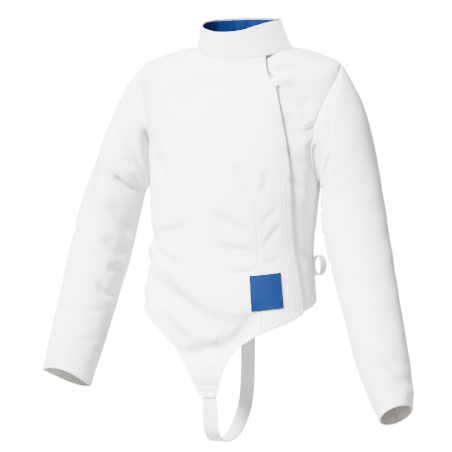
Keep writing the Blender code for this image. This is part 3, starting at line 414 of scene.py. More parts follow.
LOOP_PROUD = 0.015
LOOP_WIDE = 0.014
LOOP_LEAN = 0.45
LOOP_SIDES = 64
LOOP_ROWS = 15
ZIP_LEVELS = (-0.496, -0.064)
ZIP_TAPE = 0.0010
ZIP_HALF_TURN = 2.4
ZIP_ROWS = 230
ZIP_COLUMNS = 9
COIL_START = 0.002
COIL_PITCH = 0.0016
COIL_WIDE = 0.0046
COIL_TALL = 0.0007
COIL_LIFT = 0.0001
COIL_RADIUS = 0.00045
COIL_SIDES = 6
COIL_SHARES = (-1.0, -0.8, -0.3, 0.3, 0.8, 1.0)


def table(names: str, rows: Rows) -> dict[str, Array]:
    """A table as one array for each named column.

    Args:
        names: the columns' names, with spaces between them.
        rows: the table's rows.

    Returns:
        A dictionary from each name to its column.
    """
    return dict(zip(names.split(), np.array(rows, float).T))


def span_of(at: Array, places: Array) -> tuple[Array, Array, Array]:
    """Where places lie among a table's places.

    Args:
        at: the places.
        places: the table's places, rising.

    Returns:
        The number of each one's span, its share of the way through it and the span's length.
    """
    step = np.diff(places)
    i = np.clip(np.searchsorted(places, at, side="right") - 1, 0, len(step) - 1)
    return i, (at - places[i]) / step[i], step[i]


def cubic(t: Array, step: Array, ends: Sequence[Array], slopes: Sequence[Array]) -> Array:
    """A cubic between two values.

    Args:
        t: the share of the way from the first to the second, from 0 to 1.
        step: the length of the way.
        ends: the two values.
        slopes: the slope at each.

    Returns:
        The values on the way.
    """
    stay = 1 - t
    return (
        (1 + 2 * t) * stay**2 * ends[0]
        + t**2 * (3 - 2 * t) * ends[1]
        + step * (t * stay**2 * slopes[0] - t**2 * stay * slopes[1])
    )


def curve_through(at: Array, places: Array, values: Array) -> Array:
    """Values on a smooth curve through a table's points.

    The curve is a cubic between each two points, and its slope at a point is a mean of the
    slopes beside it, in which the shorter span counts more.

    Args:
        at: where the values are wanted.
        places: the table's places, rising.
        values: the table's values.

    Returns:
        The values at those places.
    """
    at = np.clip(at, places[0], places[-1])
    slope = np.gradient(values, places)
    i, t, step = span_of(at, places)
    return cubic(t, step, (values[i], values[i + 1]), (slope[i], slope[i + 1]))


def ease(t: Array) -> Array:
    """A smooth step from 0 to 1."""
    t = np.clip(t, 0.0, 1.0)
    return t * t * (3 - 2 * t)


def hump(distance: Array, width: float) -> Array:
    """A soft hump of height 1 at distance 0."""
    return np.exp(-((distance / width) ** 2))


def unit(vectors: Array) -> Array:
    """Vectors brought to a length of 1."""
    return vectors / np.maximum(np.linalg.norm(vectors, axis=-1, keepdims=True), 1e-12)


def normals_of(
    surface: Surface, first: Array, second: Array, step: tuple[float, float], outward: float = 1.0
) -> Array:
    """Unit normals of a surface, from small differences along its two directions.

    Args:
        surface: the surface, a function of two directions.
        first: places along the first direction.
        second: places along the second direction.
        step: the small difference along each.
        outward: 1, or -1 to turn the normals round.

    Returns:
        One normal for each place.
    """
    along_first = surface(first + step[0], second) - surface(first - step[0], second)
    along_second = surface(first, second + step[1]) - surface(first, second - step[1])
    return unit(np.cross(along_first, along_second) * outward)


def grid_normals(points: Array, outward: float = 1.0) -> Array:
    """Unit normals of a grid of points, from its neighbours along rows and columns.

    Args:
        points: the grid, rows by columns by 3.
        outward: 1, or -1 to turn the normals round.

    Returns:
        A normal for each point.
    """
    down, across = np.gradient(points, axis=(0, 1))
    return unit(np.cross(across, down) * outward)


def raise_grid(points: Array, height: Array, outward: float = 1.0) -> tuple[Array, Array]:
    """Moves a grid of points out along its normals.

    Args:
        points: the grid.
        height: how far each point is moved.
        outward: 1, or -1 to turn the normals round.

    Returns:
        The moved grid and its own normals.
    """
    raised = points + grid_normals(points, outward) * height[..., None]
    return raised, grid_normals(raised, outward)


def run_along(points: Array, axis: int) -> Array:
    """The distance along a line or a grid.

    Args:
        points: the points.
        axis: 0 to go from row to row, 1 to go from column to column.

    Returns:
        The distance to each point, from 0 at the start.
    """
    steps = np.linalg.norm(np.diff(points, axis=axis), axis=-1)
    start = np.zeros_like(np.take(steps, [0], axis=axis))
    return np.concatenate([start, np.cumsum(steps, axis=axis)], axis=axis)


def frames_along(path: Array, out: Array, at: Array) -> tuple[Array, Array, Array]:
    """Places on a line that lies on the cloth.

    Args:
        path: points of the line.
        out: the way out of the cloth at each.
        at: distances along the line.

    Returns:
        The place, the way out and the way ahead at each distance.
    """
    run = run_along(path, 0)
    middle = np.stack([np.interp(at, run, path[:, k]) for k in range(3)], -1)
    lift = unit(np.stack([np.interp(at, run, out[:, k]) for k in range(3)], -1))
    return middle, lift, unit(np.gradient(middle, axis=-2))


def fold_height(angle: Array, level: Array) -> Array:
    """The sum of the solids' folds: bell curves across sagging lines, fading towards their ends.

    Args:
        angle: angles round the body, in degrees.
        level: levels down the side line.

    Returns:
        The height out of the base at each place.
    """
    total = np.zeros(np.broadcast(angle, level).shape)
    for from_turn, from_run, to_turn, to_run, sag, width, height in BODY_FOLDS:
        line = np.array([(to_turn - from_turn) * BODY_METRES_PER_DEGREE, to_run - from_run])
        length = math.hypot(*line)
        line /= length
        x = ((angle - from_turn + 180) % 360 - 180) * BODY_METRES_PER_DEGREE
        y = level - from_run
        t = (x * line[0] + y * line[1]) / length
        inside = np.clip(t, 0, 1)
        off = (-x * line[1] + y * line[0]) * np.sign(line[0]) + sag * 4 * inside * (1 - inside)
        fade = np.exp(-(np.clip(np.abs(t - 0.5) * 2 - FOLD_CORE, 0, None) ** 2) / FOLD_FADE)
        total = total + height * np.exp(-((off / width) ** 2)) * fade
    return total


def crease_height(
    creases: Sequence[Crease], turn: Array, rise: Array, metres_per_degree: float, down: bool
) -> Array:
    """The sum of listed creases.

    Each path is a smooth curve through its points. A crease's height is its own height, times a
    bell curve of the distance from the path, which is narrower or wider on its upper and lower
    side, times a smooth fade towards the path's ends.

    Args:
        creases: the creases.
        turn: angles round the body or the sleeve, in degrees.
        rise: levels on the body, or the way along the sleeve, in metres.
        metres_per_degree: how long a degree is on the cloth.
        down: whether the second place grows downwards, as on a sleeve.

    Returns:
        The height out of the cloth, in metres.
    """
    total = np.zeros(np.broadcast(turn, rise).shape)
    sense = -1.0 if down else 1.0
    for crease in creases:
        knots = np.array(crease.path)
        places = np.arange(len(knots), dtype=float)
        at = np.linspace(0, places[-1], CREASE_STEPS * len(knots))
        line_x = (curve_through(at, places, knots[:, 0]) - knots[0, 0]) * metres_per_degree
        line_y = curve_through(at, places, knots[:, 1]) * sense
        x = ((turn - knots[0, 0] + 180) % 360 - 180) * metres_per_degree
        y = rise * sense
        way = np.sign(line_x[-1] - line_x[0])
        nearest = np.full(total.shape, np.inf)
        off, share = np.zeros(total.shape), np.zeros(total.shape)
        for k in range(len(at) - 1):
            run_x, run_y = line_x[k + 1] - line_x[k], line_y[k + 1] - line_y[k]
            t = np.clip(((x - line_x[k]) * run_x + (y - line_y[k]) * run_y) / (run_x**2 + run_y**2), 0, 1)
            miss_x, miss_y = x - line_x[k] - t * run_x, y - line_y[k] - t * run_y
            distance = np.hypot(miss_x, miss_y)
            near = distance < nearest
            nearest = np.where(near, distance, nearest)
            off = np.where(near, np.copysign(distance, (run_x * miss_y - run_y * miss_x) * way), off)
            share = np.where(near, (k + t) / (len(at) - 1), share)
        width = np.where(off > 0, crease.upper, crease.lower)
        fade = ease(share / CREASE_FADE) * ease((1 - share) / CREASE_FADE)
        total = total + crease.height * np.exp(-((off / width) ** 2)) * fade
    return total


@dataclass(frozen=True)
class Ripple:
    """The unevenness of hanging cloth: a few slow waves of different lengths and directions."""

    height: float = 0.00045
    seed: int = 7
    waves: int = 9
    lengths: tuple[float, float] = (0.035, 0.110)

    def at(self, first: Array, second: Array) -> Array:
        """The ripple's height.

        Args:
            first: places along the cloth's first direction, in metres.
            second: places along its second direction, in metres.

        Returns:
            The sum of the waves at each place.
        """
        random = np.random.default_rng(self.seed)
        total = np.zeros(np.broadcast(first, second).shape)
        for _ in range(self.waves):
            heading = random.uniform(0, math.pi)
            length = random.uniform(*self.lengths)
            phase = random.uniform(0, 2 * math.pi)
            place = (first * math.cos(heading) + second * math.sin(heading)) / length
            total = total + np.sin(2 * math.pi * place + phase)
        return total * self.height / math.sqrt(self.waves)


@dataclass
class Torso:
    """The body's surfaces as functions of the angle round it and the level down it."""

    creases: tuple[Crease, ...] = BELLY_CREASES + LAP_CREASES + BACK_CREASES
    ripple: Ripple = Ripple()

    def __post_init__(self) -> None:
        """Reads the tables."""
        self.rings = table(BODY_COLUMNS, BODY_SECTIONS)
        self.laps = table(LAP_COLUMNS, LAP)
        self.darts = table(DART_COLUMNS, DART)

    def lap(self, name: str, level: Array) -> Array:
        """One column of the lap's table at any level."""
        return curve_through(level, self.laps["level"], self.laps[name])

    def base(self, angle: Array, level: Array) -> Array:
        """The body without folds: a squared ellipse at each level, with its own front and back heights.

        Args:
            angle: angles round the body, in degrees.
            level: levels down the side line.

        Returns:
            Points of the surface.
        """
        ring = {name: curve_through(level, self.rings["level"], self.rings[name]) for name in self.rings}
        side, front = np.sin(np.radians(angle)), np.cos(np.radians(angle))
        power = ring["square"]
        reach = (np.abs(side) ** power + np.abs(front) ** power) ** (-1 / power)
        ahead = front > 0
        depth = np.where(ahead, ring["y_side"] - ring["y_front"], ring["y_back"] - ring["y_side"])
        z_end = np.where(ahead, ring["z_front"], ring["z_back"])
        return np.stack(
            [
                ring["x_mid"] + ring["half_width"] * side * reach,
                ring["y_side"] - depth * front * reach,
                ring["z_side"] + (z_end - ring["z_side"]) * front**2,
            ],
            axis=-1,
        )

    def out(self, angle: Array, level: Array) -> Array:
        """The way out of the body at each place."""
        return normals_of(self.base, angle, level, BODY_STEP)

    def solid(self, angle: Array, level: Array) -> Array:
        """The surface of the solids: the base and its folds."""
        return self.base(angle, level) + self.out(angle, level) * fold_height(angle, level)[..., None]

    def relief(self, angle: Array, level: Array) -> Array:
        """The height of the creases alone."""
        return crease_height(self.creases, angle, level, BODY_METRES_PER_DEGREE, False)

    def surface(self, angle: Array, level: Array) -> Array:
        """The surface with its folds, creases and ripple, which is calm beside the neck.

        Args:
            angle: angles round the body, in degrees.
            level: levels down the side line.

        Returns:
            Points of the surface.
        """
        height = fold_height(angle, level) + self.relief(angle, level)
        fade = ease((-NECK_CALM - level) / NECK_CALM_FADE)
        height = height + fade * self.ripple.at(angle * BODY_METRES_PER_DEGREE, level)
        return self.base(angle, level) + self.out(angle, level) * height[..., None]

    def dart(self, level: Array) -> Array:
        """The angle of the front's dart at any level, carried on above its top."""
        return curve_through(level, self.darts["level"], self.darts["angle"])

    def left(self, angle: Array, level: Array) -> Array:
        """The left front's surface: it lies deeper under the lap and rises to the body beside it.

        Args:
            angle: angles round the body, in degrees.
            level: levels down the side line.

        Returns:
            Points of the surface.
        """
        rise = 1 - ease((angle - self.lap("angle", level)) / LAP_FADE)
        inset = self.lap("inset", level) * rise
        return self.surface(angle, level) - self.out(angle, level) * inset[..., None]


def armhole_lean(level: Array) -> Array:
    """0 at the armpit and at the shoulder tip and 1 between them, as a half circle."""
    share = np.clip((level - ARMPIT) / (SHOULDER_TIP - ARMPIT), 0, 1)
    return np.sin(np.arccos(1 - 2 * share))


def front_edge(level: Array) -> Array:
    """The angle of a front's outer edge: the side seam, the armhole, then the shoulder seam."""
    return 90 - ARMHOLE_FRONT_LEAN * armhole_lean(level) - math.degrees(SEAM_GAP / SIDE_RADIUS)


def back_edge(level: Array) -> Array:
    """The angle of the back's edge on the wearer's left."""
    return 90 + ARMHOLE_BACK_LEAN * armhole_lean(level) + math.degrees(SEAM_GAP / SIDE_RADIUS)


# Distances from an edge at which a grid has its rows or columns, so that edges and stitched
# lines have their own fine form
PLAIN_EDGE = (0.0, 0.0006, 0.0012, 0.0020, 0.0034, 0.0050, 0.0056, 0.0062, 0.0068, 0.0080)
DART_EDGE = (0.0, 0.0005, 0.0010, 0.0016, 0.0022, 0.0030, 0.0044)
SEAM_STITCH = 0.0062
HEM_EDGE = (0.0, 0.0005, 0.0011, 0.0020, 0.0036, 0.0054, 0.0066, 0.0074, 0.0080, 0.0086, 0.0096, 0.0115)
LAP_EDGE = (
    0.0, 0.0006, 0.0013, 0.0024, 0.0042, 0.0064, 0.0082, 0.0090, 0.0096, 0.0102, 0.0112, 0.0130,
    0.0150, 0.0162, 0.0170, 0.0178, 0.0190, 0.0210, 0.0228, 0.0236, 0.0242, 0.0250, 0.0266,
)
RIM_EDGE = (0.0, 0.0006, 0.0012, 0.0020, 0.0032, 0.0042, 0.0050, 0.0058, 0.0070)
HEM_LINE = 0.0080
HEM_ROW = HEM_EDGE.index(HEM_LINE)


@dataclass
class Spread:
    """How a grid's columns lie between two edges: set distances beside each, then even steps."""

    low: Sequence[float]
    high: Sequence[float]
    middle: int

    def __post_init__(self) -> None:
        """Works out each column's share and its distance from either edge."""
        inner = np.linspace(0, 1, self.middle + 2)[1:-1]
        count_low, count_high = len(self.low), len(self.high)
        self.share = np.concatenate([np.zeros(count_low), inner, np.ones(count_high)])
        self.from_low = np.concatenate([self.low, np.full(len(inner) + count_high, self.low[-1])])
        self.from_high = np.concatenate([np.full(count_low + len(inner), self.high[-1]), self.high[::-1]])

    def place(self, low: Array, high: Array, low_scale: Array | float, high_scale: Array | float) -> Array:
        """Where the columns are.

        Args:
            low: the first edge's place.
            high: the last edge's place.
            low_scale: metres for each unit of place at the first edge.
            high_scale: the same at the last edge.

        Returns:
            The columns' places.
        """
        near_low = low + self.from_low / low_scale
        near_high = high - self.from_high / high_scale
        return near_low + (near_high - near_low) * self.share


@dataclass
class PanelGrid:
    """A panel of the body: rows from its hem to the neck, columns between its two side edges.

    The hem's slant is measured over a probe of so many degrees to each side, in a few rounds,
    and stretches the set distances beside the hem up to the steepest value.
    """

    torso: Torso
    stops: Sequence[Callable[[Array], Array]]
    spreads: Sequence[Spread]
    hem: Rows
    below: int
    armhole_steps: int = 96
    shoulder_steps: int = 42
    scale_levels: tuple[float, float, int] = (-0.66, 0.0, 67)
    first_level: float = ARMPIT - 0.1
    rounds: int = 6
    probe: float = 0.6
    steepest: float = 2.2

    def part_of(self, level: Array, k: int) -> Array:
        """The levels of the columns that one spread holds.

        Args:
            level: the levels, by rows and columns or by rows alone.
            k: the spread's number.

        Returns:
            The levels of its columns.
        """
        if level.shape[1] == 1:
            return level
        start = sum(len(spread.share) - 1 for spread in self.spreads[:k])
        return level[:, start : start + len(self.spreads[k].share)]

    def scale(self, angle_of: Callable[[Array], Array], level: Array) -> Array:
        """Metres for each degree beside an edge.

        Args:
            angle_of: the edge's angle at any level.
            level: the levels.

        Returns:
            The length of a degree at each level.
        """
        places = np.linspace(*self.scale_levels)
        angle = angle_of(places)
        step = self.torso.base(angle + 0.5, places) - self.torso.base(angle - 0.5, places)
        return np.interp(level, places, np.linalg.norm(step, axis=-1))

    def angles(self, level: Array) -> Array:
        """The angle of every column, from each stop to the next.

        Args:
            level: the levels, by rows and columns or by rows alone.

        Returns:
            The angles, by rows and columns.
        """
        parts = []
        for k, spread in enumerate(self.spreads):
            own = self.part_of(level, k)
            low, high = self.stops[k], self.stops[k + 1]
            parts.append(spread.place(low(own), high(own), self.scale(low, own), self.scale(high, own)))
        return np.concatenate([parts[0]] + [part[:, 1:] for part in parts[1:]], axis=1)

    def build(self) -> tuple[Array, Array]:
        """Works out the grid.

        The hem has its own level at each angle, so rows below the armpit run evenly from it.
        The set distances beside the hem are stretched where it slants. Rows beside the armhole
        close up at both ends, where it turns.

        Returns:
            The angle and the level of every point.
        """
        hem = table(HEM_COLUMNS, self.hem)
        band = np.array(HEM_EDGE)[:, None]
        share = np.linspace(0, 1, self.below + 1)[1:, None]
        columns = 1 + sum(len(spread.share) - 1 for spread in self.spreads)
        level = np.full((len(band) + self.below, columns), self.first_level)
        for _ in range(self.rounds):
            angle = self.angles(level)
            start = np.interp(angle, hem["angle"], hem["level"])
            ahead = np.interp(angle + self.probe, hem["angle"], hem["level"])
            behind = np.interp(angle - self.probe, hem["angle"], hem["level"])
            slant = np.hypot(1, (ahead - behind) / (2 * self.probe * BODY_METRES_PER_DEGREE))
            stretch = np.minimum(slant, self.steepest)
            edge = start[: len(band)] + band * stretch[: len(band)]
            rest = start[len(band) :] + band[-1] * stretch[len(band) :]
            level = np.concatenate([edge, rest + (ARMPIT - rest) * share])
        turn = np.linspace(0, np.pi, self.armhole_steps + 1)[1:, None]
        side = ARMPIT + (SHOULDER_TIP - ARMPIT) * (1 - np.cos(turn)) / 2
        top = np.linspace(SHOULDER_TIP, -SEAM_GAP, self.shoulder_steps + 1)[1:, None]
        upper = np.concatenate([side, top]) + np.zeros((1, columns))
        level = np.concatenate([level, upper])
        return self.angles(level), level


@dataclass(frozen=True)
class Bell:
    """A soft ridge or groove along an edge: its height, its width and its distance from the edge."""

    height: float
    width: float
    place: float = 0.0

    def at(self, distance: Array) -> Array:
        """Its height at a distance from the edge."""
        return self.height * hump(distance - self.place, self.width)


# What sewing does to the cloth beside its edges
LAP_LINES = (0.0096, 0.0170, 0.0236)
LAP_PUCKERS = 0.0150
LAP_TOP_ROWS = 3
RIM_LINE = 0.0050
RIM_LINE_COLUMN = 60
RIM_PUCKERS = 0.004
RIM_PUCKER_HEIGHT = 0.00025
BAND_HEIGHT = 0.0006
BAND_FADE = 0.002
SEAM_BELLS = (Bell(-0.00045, 0.0010), Bell(-0.00022, 0.0009, SEAM_STITCH))
HEM_BELLS = (Bell(-0.0009, 0.0007), Bell(-0.0006, 0.0007, HEM_LINE))
LAP_BELLS = (Bell(-0.0009, 0.0009), *(Bell(-0.0005, 0.0007, line) for line in LAP_LINES))
DART_BELLS = (Bell(0.0005, 0.0046), Bell(-0.0017, 0.0008), Bell(-0.0006, 0.0006, 0.0022))
RIM_BELLS = (Bell(-0.0008, 0.0009), Bell(-0.0004, 0.0007, RIM_LINE))
ARMHOLE_BELL = Bell(-0.0003, 0.0007, 0.0050)
PUCKER_REACH = 0.005
PUCKER_HEIGHT = 0.00012
PUCKER_LONG = 0.0125
PUCKER_SHORT = 0.0071
PUCKER_SHORT_SHARE = 0.6
PUCKER_DRIFT = 1.7
PUCKER_DRIFT_LENGTH = 0.019


def raised_by(bells: Sequence[Bell], distance: Array) -> Array:
    """The sum of the bells at each distance from an edge."""
    return sum(bell.at(distance) for bell in bells)


def seam_edge(distance: Array) -> Array:
    """An edge that a seam pulls in: it dips over its last millimetre, with stitches beside it."""
    return raised_by(SEAM_BELLS, distance)


def doubled_band(distance: Array, width: float) -> Array:
    """The band that turned cloth makes beside an edge, even up to its width and fading past it."""
    return BAND_HEIGHT * (1 - ease((distance - width) / BAND_FADE))


def hem_edge(distance: Array) -> Array:
    """A turned and stitched hem: a thicker band with a rounded edge and a stitched line."""
    return doubled_band(distance, HEM_LINE) + raised_by(HEM_BELLS, distance)


def puckers(distance: Array, run: Array, at: float, height: float = PUCKER_HEIGHT) -> Array:
    """Small uneven gathers beside a stitched line: a long and a short wave along the edge.

    Args:
        distance: the distance from the edge.
        run: the distance along the edge.
        at: the line's own distance from the edge.
        height: the gathers' height.

    Returns:
        The height of the gathers at each place.
    """
    drift = PUCKER_DRIFT * np.sin(run / PUCKER_DRIFT_LENGTH)
    wave = np.sin(2 * np.pi * run / PUCKER_LONG + drift)
    wave = wave + PUCKER_SHORT_SHARE * np.sin(2 * np.pi * run / PUCKER_SHORT)
    return height * wave * hump(distance - at, PUCKER_REACH)


class Finish(Enum):
    """The jacket's finishes, by the record's slots, and a grey-brown painted shade for the inside of its
    white cloth.
    """

    CLOTH = "white_cloth"
    PAINTED_SHADE_INSIDE = "inside_painted_shade"
    ELASTIC = "elastic"
    SATIN = "blue_satin"
    LABEL = "blue_label"
    TAPE = "zip_tape"
    ENAMEL = "white_enamel"


class NodeSheet:
    """Adds nodes and links to one node tree."""

    def __init__(self, tree: bpy.types.NodeTree) -> None:
        """Starts with a tree."""
        self.tree = tree

    def add(self, kind: str, links: dict | None = None, **settings: object) -> bpy.types.Node:
        """Adds a node.

        Args:
            kind: the node's type.
            links: from an input's name or number to an output socket or a value.
            settings: the node's own properties.

        Returns:
            The node.
        """
        node = self.tree.nodes.new(kind)
        for name, value in settings.items():
            setattr(node, name, value)
        self.fill(node, links or {})
        return node

    def fill(self, node: bpy.types.Node, links: dict) -> None:
        """Gives a node's inputs their links and values.

        Args:
            node: the node.
            links: from an input's name or number to an output socket or a value.
        """
        for name, value in links.items():
            if isinstance(value, bpy.types.NodeSocket):
                self.tree.links.new(value, node.inputs[name])
            else:
                node.inputs[name].default_value = value

    def math(self, operation: str, first: object, second: object = 0.0) -> bpy.types.NodeSocket:
        """A Math node's result."""
        return self.add("ShaderNodeMath", {0: first, 1: second}, operation=operation).outputs[0]

    def mix(self, share: object, first: object, second: object, blend: str) -> bpy.types.NodeSocket:
        """A Mix node's colour: its colours are inputs 6 and 7, and the result is output 2."""
        links = {"Factor": share, 6: first, 7: second}
        return self.add("ShaderNodeMix", links, data_type="RGBA", blend_type=blend).outputs[2]

    def group(self, tree: bpy.types.NodeTree, place: bpy.types.NodeSocket) -> bpy.types.Node:
        """Puts in a shared group.

        Args:
            tree: the group.
            place: the place that it reads.

        Returns:
            The group's node.
        """
        node = self.add("ShaderNodeGroup", node_tree=tree)
        self.fill(node, {"Place": place})
        return node


def new_material(name: str) -> tuple[bpy.types.Material, NodeSheet, bpy.types.Node]:
    """Starts a material.

    Args:
        name: the material's name.

    Returns:
        The material, the sheet to add nodes with and its own shader.
    """
    made = bpy.data.materials.new(name)
    made.use_nodes = True
    return made, NodeSheet(made.node_tree), made.node_tree.nodes["Principled BSDF"]


def group_tree(
    name: str, inputs: dict[str, tuple[str, float]], outputs: Sequence[str]
) -> tuple[NodeSheet, bpy.types.Node, bpy.types.Node]:
    """Starts a shader node group.

    Args:
        name: the group's name.
        inputs: from an input's name to its socket type's last word and its value.
        outputs: the names of its number outputs.

    Returns:
        The sheet to add nodes with, the group's input node and its output node.
    """
    tree = bpy.data.node_groups.new(name, "ShaderNodeTree")
    for label, (kind, value) in inputs.items():
        socket = tree.interface.new_socket(label, in_out="INPUT", socket_type="NodeSocket" + kind)
        if kind == "Float":
            socket.default_value = value
    for label in outputs:
        tree.interface.new_socket(label, in_out="OUTPUT", socket_type="NodeSocketFloat")
    sheet = NodeSheet(tree)
    return sheet, sheet.add("NodeGroupInput"), sheet.add("NodeGroupOutput")


def weave_group() -> bpy.types.NodeTree:
    """A woven cloth: two sets of threads that cross, with slanted ribs and uneven thickness.

    The height is the product of two sine waves of the place across and along, plus a slanted
    wave, each shifted a little by noise.
    """
    sheet, given, made = group_tree(
        "weave",
        {
            "Place": ("Vector", 0.0),
            "Threads": ("Float", 900.0),
            "Slant": ("Float", 0.5),
            "Shift": ("Float", 2.4),
            "Relief": ("Float", 0.25),
        },
        ("Height",),
    )
    where = given.outputs["Place"]
    noise = sheet.add("ShaderNodeTexNoise", {"Vector": where, "Scale": 260.0, "Detail": 2.0})
    slow = sheet.add("ShaderNodeTexNoise", {"Vector": where, "Scale": 45.0, "Detail": 3.0})
    place = sheet.add("ShaderNodeSeparateXYZ", {0: where})
    turns = sheet.math("MULTIPLY", given.outputs["Threads"], 2 * math.pi)
    shift = sheet.math("MULTIPLY", noise.outputs["Fac"], given.outputs["Shift"])
    across = sheet.math("ADD", sheet.math("MULTIPLY", place.outputs[0], turns), shift)
    along = sheet.math("ADD", sheet.math("MULTIPLY", place.outputs[1], turns), shift)
    cross = sheet.math("MULTIPLY", sheet.math("SINE", across), sheet.math("SINE", along))
    slant = sheet.math("SINE", sheet.math("ADD", across, along))
    both = sheet.math("ADD", cross, sheet.math("MULTIPLY", slant, given.outputs["Slant"]))
    threads = sheet.math("MULTIPLY", both, given.outputs["Relief"])
    sheet.fill(made, {"Height": sheet.math("ADD", threads, slow.outputs["Fac"])})
    return sheet.tree


def mottle_group() -> bpy.types.NodeTree:
    """The slow unevenness of washed cloth: a mask of broad noise and one of small pills and lint."""
    inputs = {"Place": ("Vector", 0.0), "Broad": ("Float", 14.0), "Fine": ("Float", 420.0)}
    sheet, given, made = group_tree("mottle", inputs, ("Broad", "Fine"))
    for name, detail, roughness in (("Broad", 4.0, 0.6), ("Fine", 3.0, 0.7)):
        noise = sheet.add(
            "ShaderNodeTexNoise",
            {
                "Vector": given.outputs["Place"],
                "Scale": given.outputs[name],
                "Detail": detail,
                "Roughness": roughness,
            },
        )
        sheet.fill(made, {name: noise.outputs["Fac"]})
    return sheet.tree


@dataclass(frozen=True)
class ClothFinish:
    """A woven finish: two close colours, threads for each metre and the depth of its relief."""

    name: str
    colour: tuple[float, float, float]
    worn: tuple[float, float, float]
    roughness: float
    threads: float = 900.0
    slant: float = 0.5
    depth: float = 0.00010
    bump: float = 0.35
    lint: float = 0.5
    sheen: float = 0.15
    sheen_roughness: float = 0.5
    specular: float = 0.30

    def material(self, groups: dict[str, bpy.types.NodeTree]) -> bpy.types.Material:
        """Builds the material.

        Args:
            groups: the shared node groups.

        Returns:
            The material.
        """
        made, sheet, shader = new_material(self.name)
        cut = sheet.add("ShaderNodeUVMap", uv_map="cloth")
        place = sheet.add("ShaderNodeTexCoord")
        weave = sheet.group(groups["weave"], cut.outputs[0])
        sheet.fill(weave, {"Threads": self.threads, "Slant": self.slant})
        mottle = sheet.group(groups["mottle"], place.outputs["Object"])
        colour = sheet.mix(mottle.outputs["Broad"], (*self.colour, 1.0), (*self.worn, 1.0), "MIX")
        # Painted shade: the colour is darkened where the hollow attribute marks a crease's trough
        hollow = sheet.add("ShaderNodeAttribute", attribute_name="hollow")
        painted_shade = (PAINTED_CREASE_SHADE, PAINTED_CREASE_SHADE, PAINTED_CREASE_SHADE, 1.0)
        colour = sheet.mix(hollow.outputs["Fac"], colour, painted_shade, "MULTIPLY")
        lint = sheet.math("MULTIPLY", mottle.outputs["Fine"], self.lint)
        height = sheet.math("ADD", weave.outputs["Height"], lint)
        bump = sheet.add("ShaderNodeBump", {"Strength": self.bump, "Distance": self.depth, "Height": height})
        sheet.fill(
            shader,
            {
                "Base Color": colour,
                "Normal": bump.outputs[0],
                "Roughness": self.roughness,
                "Sheen Weight": self.sheen,
                "Sheen Roughness": self.sheen_roughness,
                "Specular IOR Level": self.specular,
            },
        )
        return made


@dataclass(frozen=True)
class EnamelFinish:
    """A painted metal finish under a clear coat, with slight wear in its gloss."""

    name: str
    colour: tuple[float, float, float]
    roughness: float
    wear: float = 0.12
    coat: float = 0.3
    coat_roughness: float = 0.15

    def material(self, groups: dict[str, bpy.types.NodeTree]) -> bpy.types.Material:
        """Builds the material.

        Args:
            groups: the shared node groups.

        Returns:
            The material.
        """
        made, sheet, shader = new_material(self.name)
        place = sheet.add("ShaderNodeTexCoord")
        mottle = sheet.group(groups["mottle"], place.outputs["Object"])
        wear = sheet.math("MULTIPLY", mottle.outputs["Fine"], self.wear)
        sheet.fill(
            shader,
            {
                "Base Color": (*self.colour, 1.0),
                "Roughness": sheet.math("ADD", wear, self.roughness - self.wear / 2),
                "Coat Weight": self.coat,
                "Coat Roughness": self.coat_roughness,
            },
        )
        return made


FINISHES = {
    Finish.CLOTH: ClothFinish("white_cloth", (0.86, 0.86, 0.87), (0.83, 0.83, 0.84), 0.88),
    # Painted shade: the white cloth's inner faces in grey-brown, for the shade inside the jacket
    Finish.PAINTED_SHADE_INSIDE: ClothFinish("inside_painted_shade", (0.55, 0.53, 0.50), (0.48, 0.46, 0.43), 0.92, threads=700.0),
    Finish.ELASTIC: ClothFinish(
        "white_elastic", (0.80, 0.79, 0.77), (0.74, 0.73, 0.71), 0.70, threads=700.0, slant=0.0
    ),
    Finish.SATIN: ClothFinish(
        "blue_satin",
        (0.0004, 0.013, 0.080),
        (0.0002, 0.010, 0.060),
        0.34,
        threads=1400.0,
        sheen=0.0,
        specular=0.25,
    ),
    Finish.LABEL: ClothFinish(
        "blue_label",
        (0.0022, 0.016, 0.074),
        (0.0016, 0.012, 0.058),
        0.75,
        threads=1100.0,
        slant=0.2,
        sheen=0.0,
        specular=0.10,
    ),
    Finish.TAPE: ClothFinish("zip_tape", (0.84, 0.84, 0.84), (0.80, 0.80, 0.80), 0.80, threads=1300.0),
    Finish.ENAMEL: EnamelFinish("white_enamel", (0.86, 0.86, 0.87), 0.30),
}


